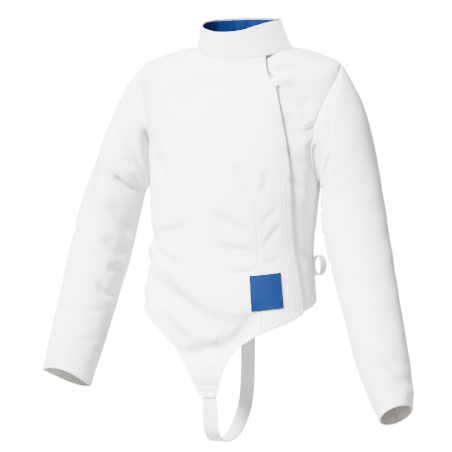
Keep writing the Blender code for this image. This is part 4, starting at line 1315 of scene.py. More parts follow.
class Wardrobe:
    """Makes meshes into finished pieces of the jacket."""

    def __init__(self) -> None:
        """Builds the shared node groups and every finish once."""
        groups = {"weave": weave_group(), "mottle": mottle_group()}
        self.materials = {finish: look.material(groups) for finish, look in FINISHES.items()}

    def piece(
        self,
        name: str,
        points: Array,
        faces: Array,
        finish: Finish,
        uv: Array | None = None,
        replaces: Sequence[str] = (),
        sharp: float = 50.0,
        hollow: Array | None = None,
        outside: int | None = None,
    ) -> bpy.types.Object:
        """Makes one piece that rides on the jacket.

        Args:
            name: the piece's name.
            points: its points.
            faces: its faces, as rows of point numbers.
            finish: its finish.
            uv: the place of each point on the flat cloth, in metres.
            replaces: the CAD nodes that it stands for.
            sharp: edges that turn by more than this many degrees stay sharp.
            hollow: how deep each point lies in a crease, from 0 to 1, which darkens its colour as painted
                shade.
            outside: how many of the first faces are the outside of a white cloth, whose inner faces then get
                a grey-brown painted shade.

        Returns:
            The piece.
        """
        mesh = bpy.data.meshes.new(name)
        mesh.from_pydata(points.tolist(), [], faces.tolist())
        mesh.shade_smooth()
        mesh.set_sharp_from_angle(angle=math.radians(sharp))
        if uv is None:
            uv = points[:, [0, 2]]
        layer = mesh.uv_layers.new(name="cloth")
        corner = np.empty(len(mesh.loops), np.int32)
        mesh.loops.foreach_get("vertex_index", corner)
        layer.data.foreach_set("uv", uv[corner].astype(np.float32).ravel())
        made = bpy.data.objects.new(name, mesh)
        bpy.context.scene.collection.objects.link(made)
        mesh.materials.append(self.materials[finish])
        # The white cloth's inner faces get the grey-brown finish, painted shade for the inside of the jacket
        if outside is not None:
            mesh.materials.append(self.materials[Finish.PAINTED_SHADE_INSIDE])
            painted_shade_faces = np.zeros(len(faces), np.int32)
            painted_shade_faces[outside : 2 * outside] = 1
            mesh.polygons.foreach_set("material_index", painted_shade_faces)
        # Each point's painted shade in a crease, 0 where it lies in none
        depth = mesh.attributes.new("hollow", "FLOAT", "POINT")
        deep = np.zeros(len(points)) if hollow is None else hollow
        depth.data.foreach_set("value", deep.astype(np.float32))
        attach(made, JACKET)
        if replaces:
            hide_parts(*replaces)
        log.info("%s: %d faces", name, len(faces))
        return made

    def shell(
        self,
        name: str,
        outer: Array,
        normal: Array,
        thickness: float,
        finish: Finish,
        wrap: bool = False,
        replaces: Sequence[str] = (),
        held: str = "draped",
        rests_on: Sequence[str] = (),
        relief: Array | None = None,
    ) -> bpy.types.Object:
        """Makes a closed wall: the outer grid and an inner one moved in along the normals.

        Args:
            name: the piece's name.
            outer: the outer grid of points.
            normal: the way out at each of them.
            thickness: the wall's thickness.
            finish: its finish.
            wrap: whether the last column joins the first one.
            replaces: the CAD nodes that it stands for.
            held: not used.
            rests_on: not used.
            relief: the height of its creases at each point, in metres, from which their painted shade is
                made.

        Returns:
            The piece.
        """
        rows, across = outer.shape[:2]
        points = np.concatenate([outer.reshape(-1, 3), (outer - normal * thickness).reshape(-1, 3)])
        index = np.arange(rows * across).reshape(rows, across)
        if wrap:
            index = np.concatenate([index, index[:, :1]], axis=1)
        skin = np.stack([index[:-1, :-1], index[:-1, 1:], index[1:, 1:], index[1:, :-1]], -1).reshape(-1, 4)
        under = skin[:, ::-1] + rows * across
        edges = [index[0, ::-1], index[-1]]
        if not wrap:
            edges += [index[:, 0], index[::-1, -1]]
        rims = [
            np.stack([edge[1:], edge[:-1], edge[:-1] + rows * across, edge[1:] + rows * across], -1)[:, ::-1]
            for edge in edges
        ]
        faces = np.concatenate([skin, under] + rims)
        if self.volume(points, faces) < 0:
            faces = faces[:, ::-1]
        u, v = run_along(outer, 1), run_along(outer, 0)
        uv = np.stack([u - u[:, across // 2 : across // 2 + 1], v], -1).reshape(-1, 2)
        # Each point's depth in a crease becomes painted shade, on the outer and the inner faces alike
        hollow = None
        if relief is not None:
            hollow = np.tile(np.clip(-relief.ravel() / PAINTED_SHADE_FULL_DEPTH, 0, 1), 2)
        # White cloth takes the grey-brown painted shade on its inner faces
        outside = len(skin) if finish is Finish.CLOTH else None
        uv = np.concatenate([uv, uv + INNER_PATTERN_SHIFT])
        made = self.piece(name, points, faces, finish, uv, replaces, hollow=hollow, outside=outside)
        return made

    @staticmethod
    def volume(points: Array, faces: Array) -> float:
        """The signed volume of a closed mesh of four-sided faces, from its corners' triple products."""
        a, b, c, d = (points[faces[:, k]] for k in range(4))
        return float((np.cross(a, b) * c).sum() + (np.cross(a, c) * d).sum()) / 6


@dataclass
class Thread:
    """Sewn lines as separate stitches that lie on the cloth."""

    length: float = 0.0024
    gap: float = 0.0009
    radius: float = 0.00024
    sink: float = 0.35
    shares: tuple[float, ...] = (0.0, 0.18, 0.5, 0.82, 1.0)
    widths: tuple[float, ...] = (0.25, 0.9, 1.0, 0.9, 0.25)

    def along(self, path: Array, out: Array) -> tuple[Array, Array]:
        """Stitches along a path.

        Each stitch is a four-sided rod with narrow ends that follows the path.

        Args:
            path: points of the line on the cloth.
            out: the way out of the cloth at each.

        Returns:
            The stitches' points and faces.
        """
        count = int(run_along(path, 0)[-1] / (self.length + self.gap))
        if count < 1:
            return np.zeros((0, 3)), np.zeros((0, 4), int)
        starts = np.arange(count) * (self.length + self.gap) + self.gap / 2
        widths = np.array(self.widths)
        middle, lift, ahead = frames_along(path, out, starts[:, None] + np.array(self.shares) * self.length)
        side = np.cross(ahead, lift)
        middle = middle + lift * self.radius * (widths - self.sink)[None, :, None]
        ring = np.stack([side, lift, -side, -lift], axis=2)
        points = middle[:, :, None, :] + ring * (self.radius * widths)[None, :, None, None]
        index = np.arange(points[..., 0].size).reshape(points.shape[:3])
        turned = np.roll(index, -1, axis=2)
        sides = np.stack([index[:, :-1], turned[:, :-1], turned[:, 1:], index[:, 1:]], -1).reshape(-1, 4)
        ends = np.concatenate([index[:, 0, ::-1], index[:, -1]])
        return points.reshape(-1, 3), np.concatenate([sides, ends])


@dataclass
class Seamstress:
    """Collects stitched lines and makes them into pieces."""

    wardrobe: Wardrobe
    thread: Thread = field(default_factory=Thread)
    lines: dict[str, list[tuple[Array, Array]]] = field(default_factory=dict)

    def sew(self, name: str, path: Array, out: Array) -> None:
        """Adds a stitched line to a named piece."""
        self.lines.setdefault(name, []).append(self.thread.along(path, out))

    def finish(self) -> None:
        """Makes one piece from the lines of each name."""
        for name, lines in self.lines.items():
            points = np.concatenate([line[0] for line in lines])
            starts = np.cumsum([0] + [len(line[0]) for line in lines[:-1]])
            faces = np.concatenate([line[1] + start for line, start in zip(lines, starts)])
            finish = Finish.LABEL if name.startswith("label") else Finish.CLOTH
            self.wardrobe.piece(name, points, faces, finish, sharp=80.0)


@dataclass
class BodyPanels:
    """The right front, the left front and the back."""

    torso: Torso
    wardrobe: Wardrobe
    sewing: Seamstress

    def make(
        self, node: str, place: tuple[Array, Array], flat: Array, profile: Array, rests_on: Sequence[str]
    ) -> tuple[Array, Array]:
        """Makes one panel.

        Args:
            node: the CAD node that it stands for.
            place: the angle and the level of every point.
            flat: the grid without the relief of its edges.
            profile: that relief at each point.
            rests_on: what it lies on or is sewn to.

        Returns:
            The panel's outer grid and its normals.
        """
        points, normal = raise_grid(flat, profile)
        self.wardrobe.shell(
            f"{node}_cloth", points, normal, CLOTH, Finish.CLOTH,
            replaces=[node], rests_on=rests_on, relief=self.torso.relief(*place),
        )
        return points, normal

    def sew_lap(self, points: Array, normal: Array, from_lap: Array) -> None:
        """Sews the lap's three lines, from the hem's own line nearly to the neck.

        Args:
            points: the panel's outer grid.
            normal: its normals.
            from_lap: each point's distance from the lap's edge.
        """
        rows = slice(HEM_ROW, -LAP_TOP_ROWS)
        pick = np.arange(len(points))
        for line in LAP_LINES:
            column = np.argmin(np.abs(from_lap - line), axis=1)
            self.sewing.sew("front_stitches", points[pick, column][rows], normal[pick, column][rows])

    def sew_hem(self, points: Array, normal: Array) -> None:
        """Sews a panel's hem."""
        self.sewing.sew("hem_stitches", points[HEM_ROW], normal[HEM_ROW])

    def right_front(self) -> None:
        """The outer front, with the lap's edge, its stitched lines and the point between the legs."""
        stops = (
            lambda level: -front_edge(level),
            self.torso.dart,
            lambda level: self.torso.lap("angle", level),
        )
        spreads = (Spread(PLAIN_EDGE, DART_EDGE, middle=94), Spread(DART_EDGE, LAP_EDGE, middle=16))
        angle, level = PanelGrid(self.torso, stops, spreads, FRONT_HEM, below=112).build()
        flat = self.torso.surface(angle, level)
        across, up = run_along(flat, 1), run_along(flat, 0)
        from_lap = across[:, -1:] - across
        profile = seam_edge(across) + hem_edge(up) + seam_edge(up[-1:] - up)
        profile += doubled_band(from_lap, LAP_LINES[-1]) + raised_by(LAP_BELLS, from_lap)
        profile += puckers(from_lap, up, LAP_PUCKERS)
        dart = len(spreads[0].share) - 1
        from_dart = np.abs(across - across[:, dart : dart + 1])
        profile += ease((DART_TOP - level) / DART_TOP_FADE) * raised_by(DART_BELLS, from_dart)
        points, normal = self.make("right_front", (angle, level), flat, profile, ["back", "left_front"])
        self.sew_lap(points, normal, from_lap)
        sewn = level[:, dart] < DART_TOP - DART_STITCH_START
        for column in (dart - DART_STITCH_COLUMN, dart + DART_STITCH_COLUMN):
            self.sewing.sew("dart_stitches", points[sewn, column], normal[sewn, column])
        column = PLAIN_EDGE.index(SEAM_STITCH)
        self.sewing.sew("seam_stitches", points[HEM_ROW:, column], normal[HEM_ROW:, column])
        self.sew_hem(points, normal)

    def left_front(self) -> None:
        """The under front, from beneath the lap to the side seam and the armhole."""
        stops = (lambda level: self.torso.lap("under", level), front_edge)
        spreads = (Spread(PLAIN_EDGE, PLAIN_EDGE, middle=56),)
        angle, level = PanelGrid(self.torso, stops, spreads, FRONT_HEM, below=84).build()
        flat = self.torso.left(angle, level)
        across, up = run_along(flat, 1), run_along(flat, 0)
        profile = seam_edge(across[:, -1:] - across) + hem_edge(up) + seam_edge(up[-1:] - up)
        self.sew_hem(*self.make("left_front", (angle, level), flat, profile, ["back"]))

    def back(self) -> None:
        """The back, in one piece from side seam to side seam."""
        stops = (back_edge, lambda level: 360 - back_edge(level))
        spreads = (Spread(PLAIN_EDGE, PLAIN_EDGE, middle=116),)
        angle, level = PanelGrid(self.torso, stops, spreads, BACK_HEM, below=76).build()
        flat = self.torso.surface(angle, level)
        across, up = run_along(flat, 1), run_along(flat, 0)
        profile = seam_edge(across) + seam_edge(across[:, -1:] - across)
        profile += hem_edge(up) + seam_edge(up[-1:] - up)
        self.sew_hem(*self.make("back", (angle, level), flat, profile, ["right_front", "left_front"]))


@dataclass
class Sleeve:
    """One sleeve: an upper piece, an under piece and a cuff piece below that."""

    torso: Torso
    wardrobe: Wardrobe
    sewing: Seamstress
    side: int
    rows: Rows
    creases: tuple[Crease, ...]
    seam_rows: Rows
    cuff_seam: float
    mouth: tuple[float, float]

    def __post_init__(self) -> None:
        """Reads the tables."""
        self.rings = table(SLEEVE_COLUMNS, self.rows)
        self.seams = table(SEAM_TURN_COLUMNS, self.seam_rows)
        self.places = np.concatenate([[0.0], self.rings["along"]])
        self.ripple = Ripple(seed=SLEEVE_RIPPLE_SEED + self.side)
        self.hand = "right" if self.side < 0 else "left"

    def armhole(self, turn: Array) -> Array:
        """The armhole's edge on the body.

        Args:
            turn: turns round the sleeve, in degrees.

        Returns:
            The edge's point at each turn.
        """
        ahead = np.sin(np.radians(turn)) >= 0
        level = ARMPIT + (SHOULDER_TIP - ARMPIT) * (1 + np.cos(np.radians(turn))) / 2
        lean = armhole_lean(level)
        angle = np.where(ahead, 90 - ARMHOLE_FRONT_LEAN * lean, 90 + ARMHOLE_BACK_LEAN * lean)
        return self.torso.surface(self.side * angle, level) + np.array([self.side * SEAM_GAP, 0.0, 0.0])

    def tube(self, along: Array, turn: Array) -> Array:
        """The smooth sleeve: each turn has its own cubic track from the armhole through the rings.

        Args:
            along: the way along the sleeve, in metres.
            turn: the turn round it, in degrees.

        Returns:
            Points of the surface.
        """
        along, turn = np.broadcast_arrays(np.asarray(along, float), np.asarray(turn, float))
        out, ahead = np.cos(np.radians(turn)), np.sin(np.radians(turn))
        track = [self.armhole(turn)]
        for k in range(len(self.rings["along"])):
            ring = {name: self.rings[name][k] for name in self.rings}
            x = ring["inner_x"] + (ring["outer_x"] - ring["inner_x"]) * (1 + out) / 2
            z = ring["inner_z"] + (ring["outer_z"] - ring["inner_z"]) * (1 + out) / 2
            y = ring["y_mid"] - ring["half_depth"] * ahead
            track.append(np.stack([self.side * x, y, z + ring["front_rise"] * ahead], -1))
        track = np.stack(track)
        slope = np.gradient(track, self.places, axis=0)
        i, t, step = span_of(along, self.places)
        grid = np.indices(along.shape)
        start, end = (i, *grid), (i + 1, *grid)
        return cubic(t[..., None], step[..., None], (track[start], track[end]), (slope[start], slope[end]))

    def relief(self, along: Array, turn: Array) -> Array:
        """The height of the creases alone."""
        return crease_height(self.creases, turn, along, SLEEVE_METRES_PER_DEGREE, True)

    def surface(self, along: Array, turn: Array) -> Array:
        """The sleeve's outer face: a wall's thickness outside the tube, with its creases and ripple.

        Args:
            along: the way along the sleeve, in metres.
            turn: the turn round it, in degrees.

        Returns:
            Points of the surface.
        """
        along, turn = np.broadcast_arrays(np.asarray(along, float), np.asarray(turn, float))
        out = normals_of(self.tube, along, turn, TUBE_STEP, -self.side)
        ripple = self.ripple.at(np.sin(np.radians(turn)) * SLEEVE_RIPPLE_RADIUS, along)
        height = self.relief(along, turn) + ease((along - SLEEVE_RIPPLE_START) / SLEEVE_RIPPLE_FADE) * ripple
        height = height + SLEEVE_OUT * ease(along / SLEEVE_OUT_FADE)
        return self.tube(along, turn) + out * height[..., None]

    def seam_turn(self, along: Array) -> Array:
        """The turn of the front seam between the upper and the under piece."""
        return curve_through(along, self.seams["along"], self.seams["turn"])

    def cut_mouth(self, along: Array, turn: Array) -> Array:
        """Moves the cuff's rows up at the front and down at the back, so that its mouth gapes.

        Args:
            along: the rows' places along the sleeve.
            turn: their turns round it.

        Returns:
            The moved places.
        """
        front, back = self.mouth
        ahead = np.sin(np.radians(turn))
        near_end = ease((along - self.places[-1] + MOUTH_REACH) / MOUTH_REACH)
        return along - near_end * np.where(ahead > 0, front, back) * ahead * np.abs(ahead)

    def panel(self, name: str, along: Array, upper: bool, replaces: str, last_seam: bool) -> None:
        """One panel between the two seams along the sleeve.

        Args:
            name: the piece's name.
            along: its rows' places along the sleeve.
            upper: whether it is the upper panel, or else the one under the arm.
            replaces: the CAD node that it stands for.
            last_seam: whether its last row is a seam, or else a hem.
        """
        scale = SLEEVE_METRES_PER_DEGREE
        seam = self.seam_turn(along)[:, None]
        low, high = (BACK_SEAM_TURN, seam) if upper else (seam, BACK_SEAM_TURN + 360)
        spread = Spread(PLAIN_EDGE, PLAIN_EDGE, int(float(np.mean(high - low)) * scale / CELL))
        turn = spread.place(low, high, scale, scale)
        place = self.cut_mouth(along[:, None] + 0 * turn, turn)
        flat = self.surface(place, turn)
        across, down = run_along(flat, 1), run_along(flat, 0)
        last = down[-1:] - down
        profile = seam_edge(across) + seam_edge(across[:, -1:] - across) + ARMHOLE_BELL.at(down)
        profile += seam_edge(last) if last_seam else hem_edge(last)
        raised, normal = raise_grid(flat, profile, self.side)
        self.wardrobe.shell(
            name, raised, normal, CLOTH, Finish.CLOTH,
            replaces=[replaces], rests_on=["back", f"{self.hand}_front"], relief=self.relief(place, turn),
        )
        if not last_seam:
            row = len(raised) - 1 - HEM_ROW
            self.sewing.sew("cuff_stitches", raised[row], normal[row])

    def rows_between(self, start: float, end: float, low: Sequence[float], high: Sequence[float]) -> Array:
        """Rows along the sleeve with set distances beside both ends."""
        spread = Spread(low, high, int((end - start) / CELL))
        return spread.place(np.array(start), np.array(end), 1.0, 1.0)

    def build(self) -> None:
        """Builds the three pieces."""
        end = float(self.rings["along"][-1])
        upper = self.rows_between(0.0, end, PLAIN_EDGE, HEM_EDGE)
        under = self.rows_between(0.0, self.cuff_seam, PLAIN_EDGE, PLAIN_EDGE)
        cuff = self.rows_between(self.cuff_seam + SEAM_GAP, end, PLAIN_EDGE, HEM_EDGE)
        self.panel(f"{self.hand}_sleeve_upper_cloth", upper, True, f"{self.hand}_sleeve_upper", False)
        self.panel(f"{self.hand}_sleeve_under_cloth", under, False, f"{self.hand}_sleeve_under", True)
        self.panel(f"{self.hand}_cuff_cloth", cuff, False, f"{self.hand}_cuff", False)


@dataclass
class Collar:
    """The stand collar with its tab, and its satin lining."""

    torso: Torso
    wardrobe: Wardrobe
    sewing: Seamstress

    def surface(self, angle: Array, height: Array) -> Array:
        """The collar's outer face: an oval ring that rises from the neck seam to its rim.

        Args:
            angle: angles round the neck, from under the lap to the tab's end.
            height: 0 at the seam and 1 at the rim.

        Returns:
            Points of the surface.
        """
        rows = table(COLLAR_COLUMNS, COLLAR)
        row = {name: curve_through(angle, rows["angle"], rows[name]) for name in rows}
        side, front = np.sin(np.radians(angle)), np.cos(np.radians(angle))
        out = row["out_base"] + (row["out_top"] - row["out_base"]) * height
        depth = np.where(front > 0, NECK_FRONT, NECK_BACK)
        base = self.torso.base(angle, 0.0 * angle)[..., 2] + row["lift"]
        rise = base + (row["top"] - base) * height
        return np.stack([(NECK_HALF_WIDTH + out) * side, -(depth + out) * front, rise], axis=-1)

    def grid(self, angles: Array, heights: Array) -> tuple[Array, Array]:
        """Angles and heights over a stretch of the collar; past the lining its end slants back.

        Args:
            angles: the columns' angles.
            heights: the rows' heights, from 0 at the seam to 1 at the rim.

        Returns:
            The angle and the height of every point.
        """
        angle, height = angles[None, :], heights[:, None]
        past = np.clip((angle - LINING_TURNS[1]) / (COLLAR[-1][0] - LINING_TURNS[1]), 0, 1)
        return angle - COLLAR_END_SLANT * past * height, height + 0 * angle

    @staticmethod
    def wrinkles(turn: Array, height: Array) -> Array:
        """Upright wrinkles of the satin: waves round the neck that lean and fade at both hems.

        Args:
            turn: angles round the neck, in degrees.
            height: heights, from 0 at the seam to 1 at the rim.

        Returns:
            How far the satin lies inside the collar at each place.
        """
        wave = sum(
            share * np.sin(np.radians(turn * turns + height * lean + start))
            for share, turns, lean, start in SATIN_WAVES
        )
        most = sum(row[0] for row in SATIN_WAVES)
        return SATIN_WRINKLE * (1 + wave / most) * 4 * height * (1 - height)

    def build(self) -> None:
        """Builds the collar, its stitched rim and its lining."""
        low, high = np.array(COLLAR[0][0]), np.array(COLLAR[-1][0])
        angles = Spread(PLAIN_EDGE, PLAIN_EDGE, middle=190).place(low, high, *COLLAR_END_SCALES)
        rows = Spread(PLAIN_EDGE, RIM_EDGE, middle=16)
        heights = rows.place(np.array(0.0), np.array(1.0), COLLAR_TALL, COLLAR_TALL)
        flat = self.surface(*self.grid(angles, heights))
        across, up = run_along(flat, 1), run_along(flat, 0)
        from_rim, from_end = up[-1:] - up, across[:, -1:] - across
        profile = seam_edge(up) + raised_by(RIM_BELLS, from_rim) + raised_by(RIM_BELLS, from_end)
        profile += puckers(from_rim, across, RIM_PUCKERS, RIM_PUCKER_HEIGHT)
        raised, normal = raise_grid(flat, profile)
        self.wardrobe.shell(
            "collar_cloth", raised, normal, CLOTH, Finish.CLOTH,
            replaces=["collar"], rests_on=["right_front", "left_front", "back"],
        )
        row = int(np.argmin(np.abs(from_rim[:, RIM_LINE_COLUMN] - RIM_LINE)))
        self.sewing.sew("collar_stitches", raised[row], normal[row])
        turns = np.linspace(*LINING_TURNS, LINING_COLUMNS)
        angle, height = self.grid(turns, np.linspace(*LINING_HEIGHTS, LINING_ROWS))
        inside = -(CLOTH + LIE_GAP + self.wrinkles(turns[None, :], height))
        flat = self.surface(angle, height)
        normal = grid_normals(flat)
        self.wardrobe.shell(
            "collar_lining_satin", flat + normal * inside[..., None], normal, LINING, Finish.SATIN,
            replaces=["collar_lining"], rests_on=["collar"],
        )


@dataclass
class Strap:
    """The elastic strap between the legs."""

    torso: Torso
    wardrobe: Wardrobe

    def sewn(self, angles: tuple[float, float], levels: tuple[float, ...]) -> Array:
        """Rows of points against the inner face of a panel.

        Args:
            angles: the angles of the strap's two sides.
            levels: the rows' levels.

        Returns:
            The points, by rows and columns.
        """
        angle = np.linspace(*angles, STRAP_COLUMNS)[None, :] + np.zeros((len(levels), 1))
        level = np.array(levels)[:, None] + np.zeros((1, STRAP_COLUMNS))
        normal = normals_of(self.torso.solid, angle, level, BODY_STEP)
        return self.torso.solid(angle, level) - normal * (CLOTH + LIE_GAP)

    def build(self) -> None:
        """A band on a smooth curve through its rows, with fine ribs along it."""
        front = self.sewn(STRAP_FRONT_ANGLES, STRAP_FRONT_LEVELS)
        rear = self.sewn(STRAP_BACK_ANGLES, STRAP_BACK_LEVELS)
        shares = np.linspace(-0.5, 0.5, STRAP_COLUMNS)[None, :, None]
        free = np.array(STRAP_PATH)[:, None, :] + shares * STRAP_WIDTH * np.array([1.0, 0.0, 0.0])
        rows = np.concatenate([front, free, rear])
        knots = np.arange(len(rows), dtype=float)
        at = np.linspace(0, knots[-1], STRAP_ROWS)
        surface = np.stack([curve_through(at, knots, track) for track in rows.reshape(len(rows), -1).T], -1)
        surface = surface.reshape(len(at), STRAP_COLUMNS, 3)
        normal = grid_normals(surface, -1.0)
        ribs = STRAP_RIB * np.cos(np.arange(STRAP_COLUMNS) * np.pi)[None, :, None]
        self.wardrobe.shell(
            "crotch_strap_elastic", surface + normal * ribs, normal, WEBBING, Finish.ELASTIC,
            replaces=["crotch_strap"], held="hung", rests_on=["right_front", "back"],
        )


@dataclass
class Trims:
    """The label, the side loop and the zip."""

    torso: Torso
    wardrobe: Wardrobe
    sewing: Seamstress
    nodes: dict[str, bpy.types.Object]

    def label(self) -> None:
        """The blank woven label, on the right front's own surface, with a stitched border."""
        edge = np.array(LABEL_EDGE_SHARES)
        steps = np.concatenate([edge, np.linspace(*LABEL_MIDDLE_SHARES), 1 - edge[::-1]])
        angle = (LABEL_ANGLES[0] + (LABEL_ANGLES[1] - LABEL_ANGLES[0]) * steps)[None, :] + 0 * steps[:, None]
        level = (LABEL_LEVELS[0] + (LABEL_LEVELS[1] - LABEL_LEVELS[0]) * steps)[:, None] + 0 * steps[None, :]
        middle_angle, middle_level = sum(LABEL_ANGLES) / 2, sum(LABEL_LEVELS) / 2
        turned = angle - LABEL_LEAN * (level - middle_level) / BODY_METRES_PER_DEGREE
        raised = level + LABEL_TILT * (angle - middle_angle) * BODY_METRES_PER_DEGREE
        flat = self.torso.surface(turned, raised)
        normal = grid_normals(flat)
        surface = flat + normal * (2 * LIE_GAP + LABEL_THICK)
        self.wardrobe.shell(
            "label_woven", surface, normal, LABEL_THICK, Finish.LABEL,
            replaces=["label"], rests_on=["right_front"],
        )
        edges = ((slice(None), 1), (slice(None), -2), (1, slice(None)), (-2, slice(None)))
        for first, second in edges:
            path, out = surface[first, second], normal[first, second]
            at = np.arange(LABEL_STITCH_START, run_along(path, 0)[-1], LABEL_STITCH / 2)
            middle, lift, ahead = frames_along(path, out, at)
            swing = np.where(np.arange(len(at)) % 2 == 0, 1.0, -1.0)[:, None] * LABEL_SWING
            self.sewing.sew("label_stitches", middle + np.cross(ahead, lift) * swing, lift)

    def side_loop(self) -> None:
        """The loop of tape on the left side seam: an oval ring that leans out towards the back."""
        seat = self.torso.solid(np.array([LOOP_ANGLE]), np.array([LOOP_LEVEL]))[0]
        turn = np.linspace(0, 2 * math.pi, LOOP_SIDES, endpoint=False)[None, :]
        y = np.linspace(0.5, -0.5, LOOP_ROWS)[:, None] * LOOP_WIDE
        side, rise = np.cos(turn), np.sin(turn)
        x = seat[0] + 2 * LIE_GAP + LOOP_PROUD / 2 * (1 + side)
        lean = LOOP_LEAN * (y + LOOP_WIDE / 2) * (1 + side) / 2
        surface = np.stack([x + lean, seat[1] + y + 0 * x, LOOP_Z + LOOP_TALL / 2 * rise + 0 * y], -1)
        normal = unit(np.stack([side / LOOP_PROUD + 0 * y, 0 * side + 0 * y, rise / LOOP_TALL + 0 * y], -1))
        self.wardrobe.shell(
            "side_loop_tape", surface, normal, WEBBING, Finish.ELASTIC,
            wrap=True, replaces=["side_loop"], rests_on=["left_front"],
        )

    def zip(self) -> None:
        """The zip's tape and coil, and the slider and pull of the solids in their finish."""
        level = np.linspace(*ZIP_LEVELS, ZIP_ROWS)[:, None]
        turn = np.linspace(-ZIP_HALF_TURN, ZIP_HALF_TURN, ZIP_COLUMNS)[None, :]
        angle = self.torso.lap("zip", level) + turn
        flat = self.torso.left(angle, level + 0 * angle)
        normal = grid_normals(flat)
        surface = flat + normal * (LIE_GAP + ZIP_TAPE)
        self.wardrobe.shell(
            "zip_tape_woven", surface, normal, ZIP_TAPE, Finish.TAPE,
            replaces=["zip_tape"], rests_on=["left_front"],
        )
        self.coil(surface[:, ZIP_COLUMNS // 2], normal[:, ZIP_COLUMNS // 2])
        for name in ("zip_slider", "zip_pull"):
            node = self.nodes[name]
            node.data.materials.clear()
            node.data.materials.append(self.wardrobe.materials[Finish.ENAMEL])

    def coil(self, path: Array, out: Array) -> None:
        """The closed coil: a row of low arches across the tape's middle, each a six-sided rod.

        Args:
            path: the tape's middle line.
            out: the way out of the tape at each point.
        """
        at = np.arange(COIL_START, run_along(path, 0)[-1] - COIL_START, COIL_PITCH)
        middle, lift, ahead = frames_along(path, out, at)
        across = np.cross(ahead, lift)
        share = np.array(COIL_SHARES)
        arch = COIL_TALL * np.sqrt(np.clip(1 - share**2, 0.0, 1.0)) + COIL_LIFT
        spine = middle[:, None] + across[:, None] * (share * COIL_WIDE / 2)[None, :, None]
        spine = spine + lift[:, None] * arch[None, :, None]
        turned = np.linspace(0, 2 * math.pi, COIL_SIDES, endpoint=False)[:, None]
        ring = ahead[:, None, None] * np.cos(turned) + lift[:, None, None] * np.sin(turned)
        points = spine[:, :, None] + ring * COIL_RADIUS
        index = np.arange(points[..., 0].size).reshape(points.shape[:3])
        rolled = np.roll(index, -1, axis=2)
        sides = np.stack([index[:, :-1], rolled[:, :-1], rolled[:, 1:], index[:, 1:]], -1).reshape(-1, 4)
        caps = np.stack([index[:, 0, [0, 1, 2, 3]], index[:, 0, [0, 3, 4, 5]]], 1).reshape(-1, 4)
        ends = np.stack([index[:, -1, [3, 2, 1, 0]], index[:, -1, [5, 4, 3, 0]]], 1).reshape(-1, 4)
        faces = np.concatenate([sides, caps, ends])
        if Wardrobe.volume(points.reshape(-1, 3), faces) < 0:
            faces = faces[:, ::-1]
        self.wardrobe.piece("zip_coil", points.reshape(-1, 3), faces, Finish.TAPE, sharp=80.0)


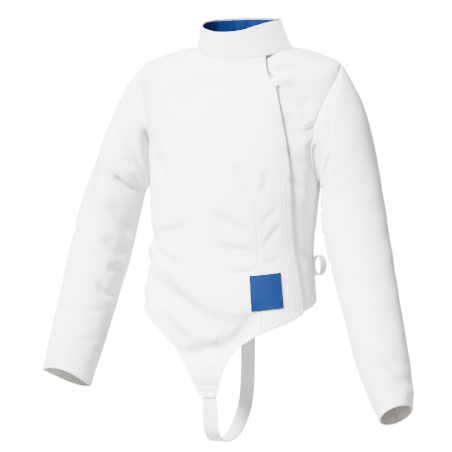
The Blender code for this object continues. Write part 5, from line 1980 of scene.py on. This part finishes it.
@dataclass
class Studio:
    """The floor, the light and the camera."""

    target: tuple[float, float, float] = (0.0, 0.0, -0.300)
    azimuth: float = 18.0
    elevation: float = 3.0
    distance: float = 3.5
    metres_per_pixel: float = 0.00172
    picture: int = 452
    target_pixel: tuple[float, float] = (241.0, 228.4)
    sensor: float = 36.0
    sight: float = 200.0
    key_place: tuple[float, float, float] = (-1.0, -2.7, 2.0)
    key_aim: tuple[float, float, float] = (-0.01, -0.10, -0.370)
    key_size: float = 1.1
    key_power: float = 36.0
    key_spread: float = 20.0
    floor_level: float = -0.760
    floor_radius: float = 60.0
    floor_sides: int = 64
    floor_grey: float = 0.55
    white: float = 18.0
    ambient: float = 0.90

    def camera(self) -> None:
        """A long lens from the photograph's side, with the part where the photograph has it."""
        data = bpy.data.cameras.new("camera")
        data.sensor_width = self.sensor
        data.lens = self.sensor * self.distance / (self.metres_per_pixel * self.picture)
        data.shift_x = (self.picture / 2 - self.target_pixel[0]) / self.picture
        data.shift_y = (self.target_pixel[1] - self.picture / 2) / self.picture
        data.clip_end = self.sight
        azimuth, elevation = math.radians(self.azimuth), math.radians(self.elevation)
        level = math.cos(elevation)
        away = Vector((math.sin(azimuth) * level, -math.cos(azimuth) * level, math.sin(elevation)))
        camera = bpy.data.objects.new("camera", data)
        camera.location = Vector(self.target) + away * self.distance
        camera.rotation_euler = (-away).to_track_quat("-Z", "Y").to_euler()
        bpy.context.scene.collection.objects.link(camera)
        bpy.context.scene.camera = camera

    def key_light(self) -> None:
        """A square soft light that faces the jacket and falls off towards its sides."""
        data = bpy.data.lights.new("key", "AREA")
        data.size = self.key_size
        data.energy = self.key_power
        data.spread = math.radians(self.key_spread)
        lamp = bpy.data.objects.new("key", data)
        lamp.location = self.key_place
        aim = Vector(self.key_aim) - Vector(self.key_place)
        lamp.rotation_euler = aim.to_track_quat("-Z", "Y").to_euler()
        bpy.context.scene.collection.objects.link(lamp)

    def floor(self) -> None:
        """A wide pale floor under the jacket."""
        turn = np.linspace(0, 2 * math.pi, self.floor_sides, endpoint=False)
        x, y = self.floor_radius * np.cos(turn), self.floor_radius * np.sin(turn)
        points = np.stack([x, y, np.full(self.floor_sides, self.floor_level)], -1)
        mesh = bpy.data.meshes.new("floor")
        mesh.from_pydata(points.tolist(), [], [list(range(self.floor_sides))])
        floor = bpy.data.objects.new("floor", mesh)
        pale, sheet, shader = new_material("pale_floor")
        grey = (self.floor_grey, self.floor_grey, self.floor_grey, 1.0)
        sheet.fill(shader, {"Base Color": grey, "Roughness": 1.0, "Specular IOR Level": 0.0})
        bright = sheet.add("ShaderNodeEmission", {"Strength": self.white})
        self.show(sheet, shader.outputs[0], bright.outputs[0], "Material Output")
        mesh.materials.append(pale)
        bpy.context.scene.collection.objects.link(floor)

    @staticmethod
    def show(
        sheet: NodeSheet, lighting: bpy.types.NodeSocket, seen: bpy.types.NodeSocket, output: str
    ) -> None:
        """Gives a surface one shader where it lights the jacket and a brighter one where it is looked at.

        Args:
            sheet: the sheet of its node tree.
            lighting: the shader that lights the jacket.
            seen: the shader that is looked at.
            output: the name of the tree's output node.
        """
        rays = sheet.add("ShaderNodeLightPath")
        mix = sheet.add("ShaderNodeMixShader", {0: rays.outputs["Is Camera Ray"], 1: lighting, 2: seen})
        sheet.fill(sheet.tree.nodes[output], {"Surface": mix.outputs[0]})

    def surroundings(self) -> None:
        """An even white room, brighter where it is looked at, as a lit paper backdrop is."""
        world = bpy.data.worlds.new("studio")
        bpy.context.scene.world = world
        world.use_nodes = True
        sheet = NodeSheet(world.node_tree)
        white = (1.0, 1.0, 1.0, 1.0)
        even = world.node_tree.nodes["Background"]
        sheet.fill(even, {"Color": white, "Strength": self.ambient})
        backdrop = sheet.add("ShaderNodeBackground", {"Color": white, "Strength": self.white})
        self.show(sheet, even.outputs[0], backdrop.outputs[0], "World Output")

    def build(self) -> None:
        """Builds the studio."""
        self.surroundings()
        self.floor()
        self.key_light()
        self.camera()


def main() -> None:
    """Builds the jacket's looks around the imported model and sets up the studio."""
    logging.basicConfig(level=logging.INFO, format="%(name)s: %(message)s")
    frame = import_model()
    wardrobe = Wardrobe()
    sewing = Seamstress(wardrobe)
    torso = Torso()
    panels = BodyPanels(torso, wardrobe, sewing)
    panels.right_front()
    panels.left_front()
    panels.back()
    for side, rows, creases, seams, cuff_seam, mouth in (
        (-1, RIGHT_SLEEVE, RIGHT_CREASES, RIGHT_SEAM_TURNS, RIGHT_CUFF_SEAM, RIGHT_MOUTH),
        (1, LEFT_SLEEVE, LEFT_CREASES, LEFT_SEAM_TURNS, LEFT_CUFF_SEAM, LEFT_MOUTH),
    ):
        creases = creases + BEHIND_CREASES
        Sleeve(torso, wardrobe, sewing, side, rows, creases, seams, cuff_seam, mouth).build()
    Collar(torso, wardrobe, sewing).build()
    Strap(torso, wardrobe).build()
    trims = Trims(torso, wardrobe, sewing, frame["nodes"])
    trims.label()
    trims.side_loop()
    trims.zip()
    sewing.finish()
    Studio().build()


if __name__ == "__main__":
    main()
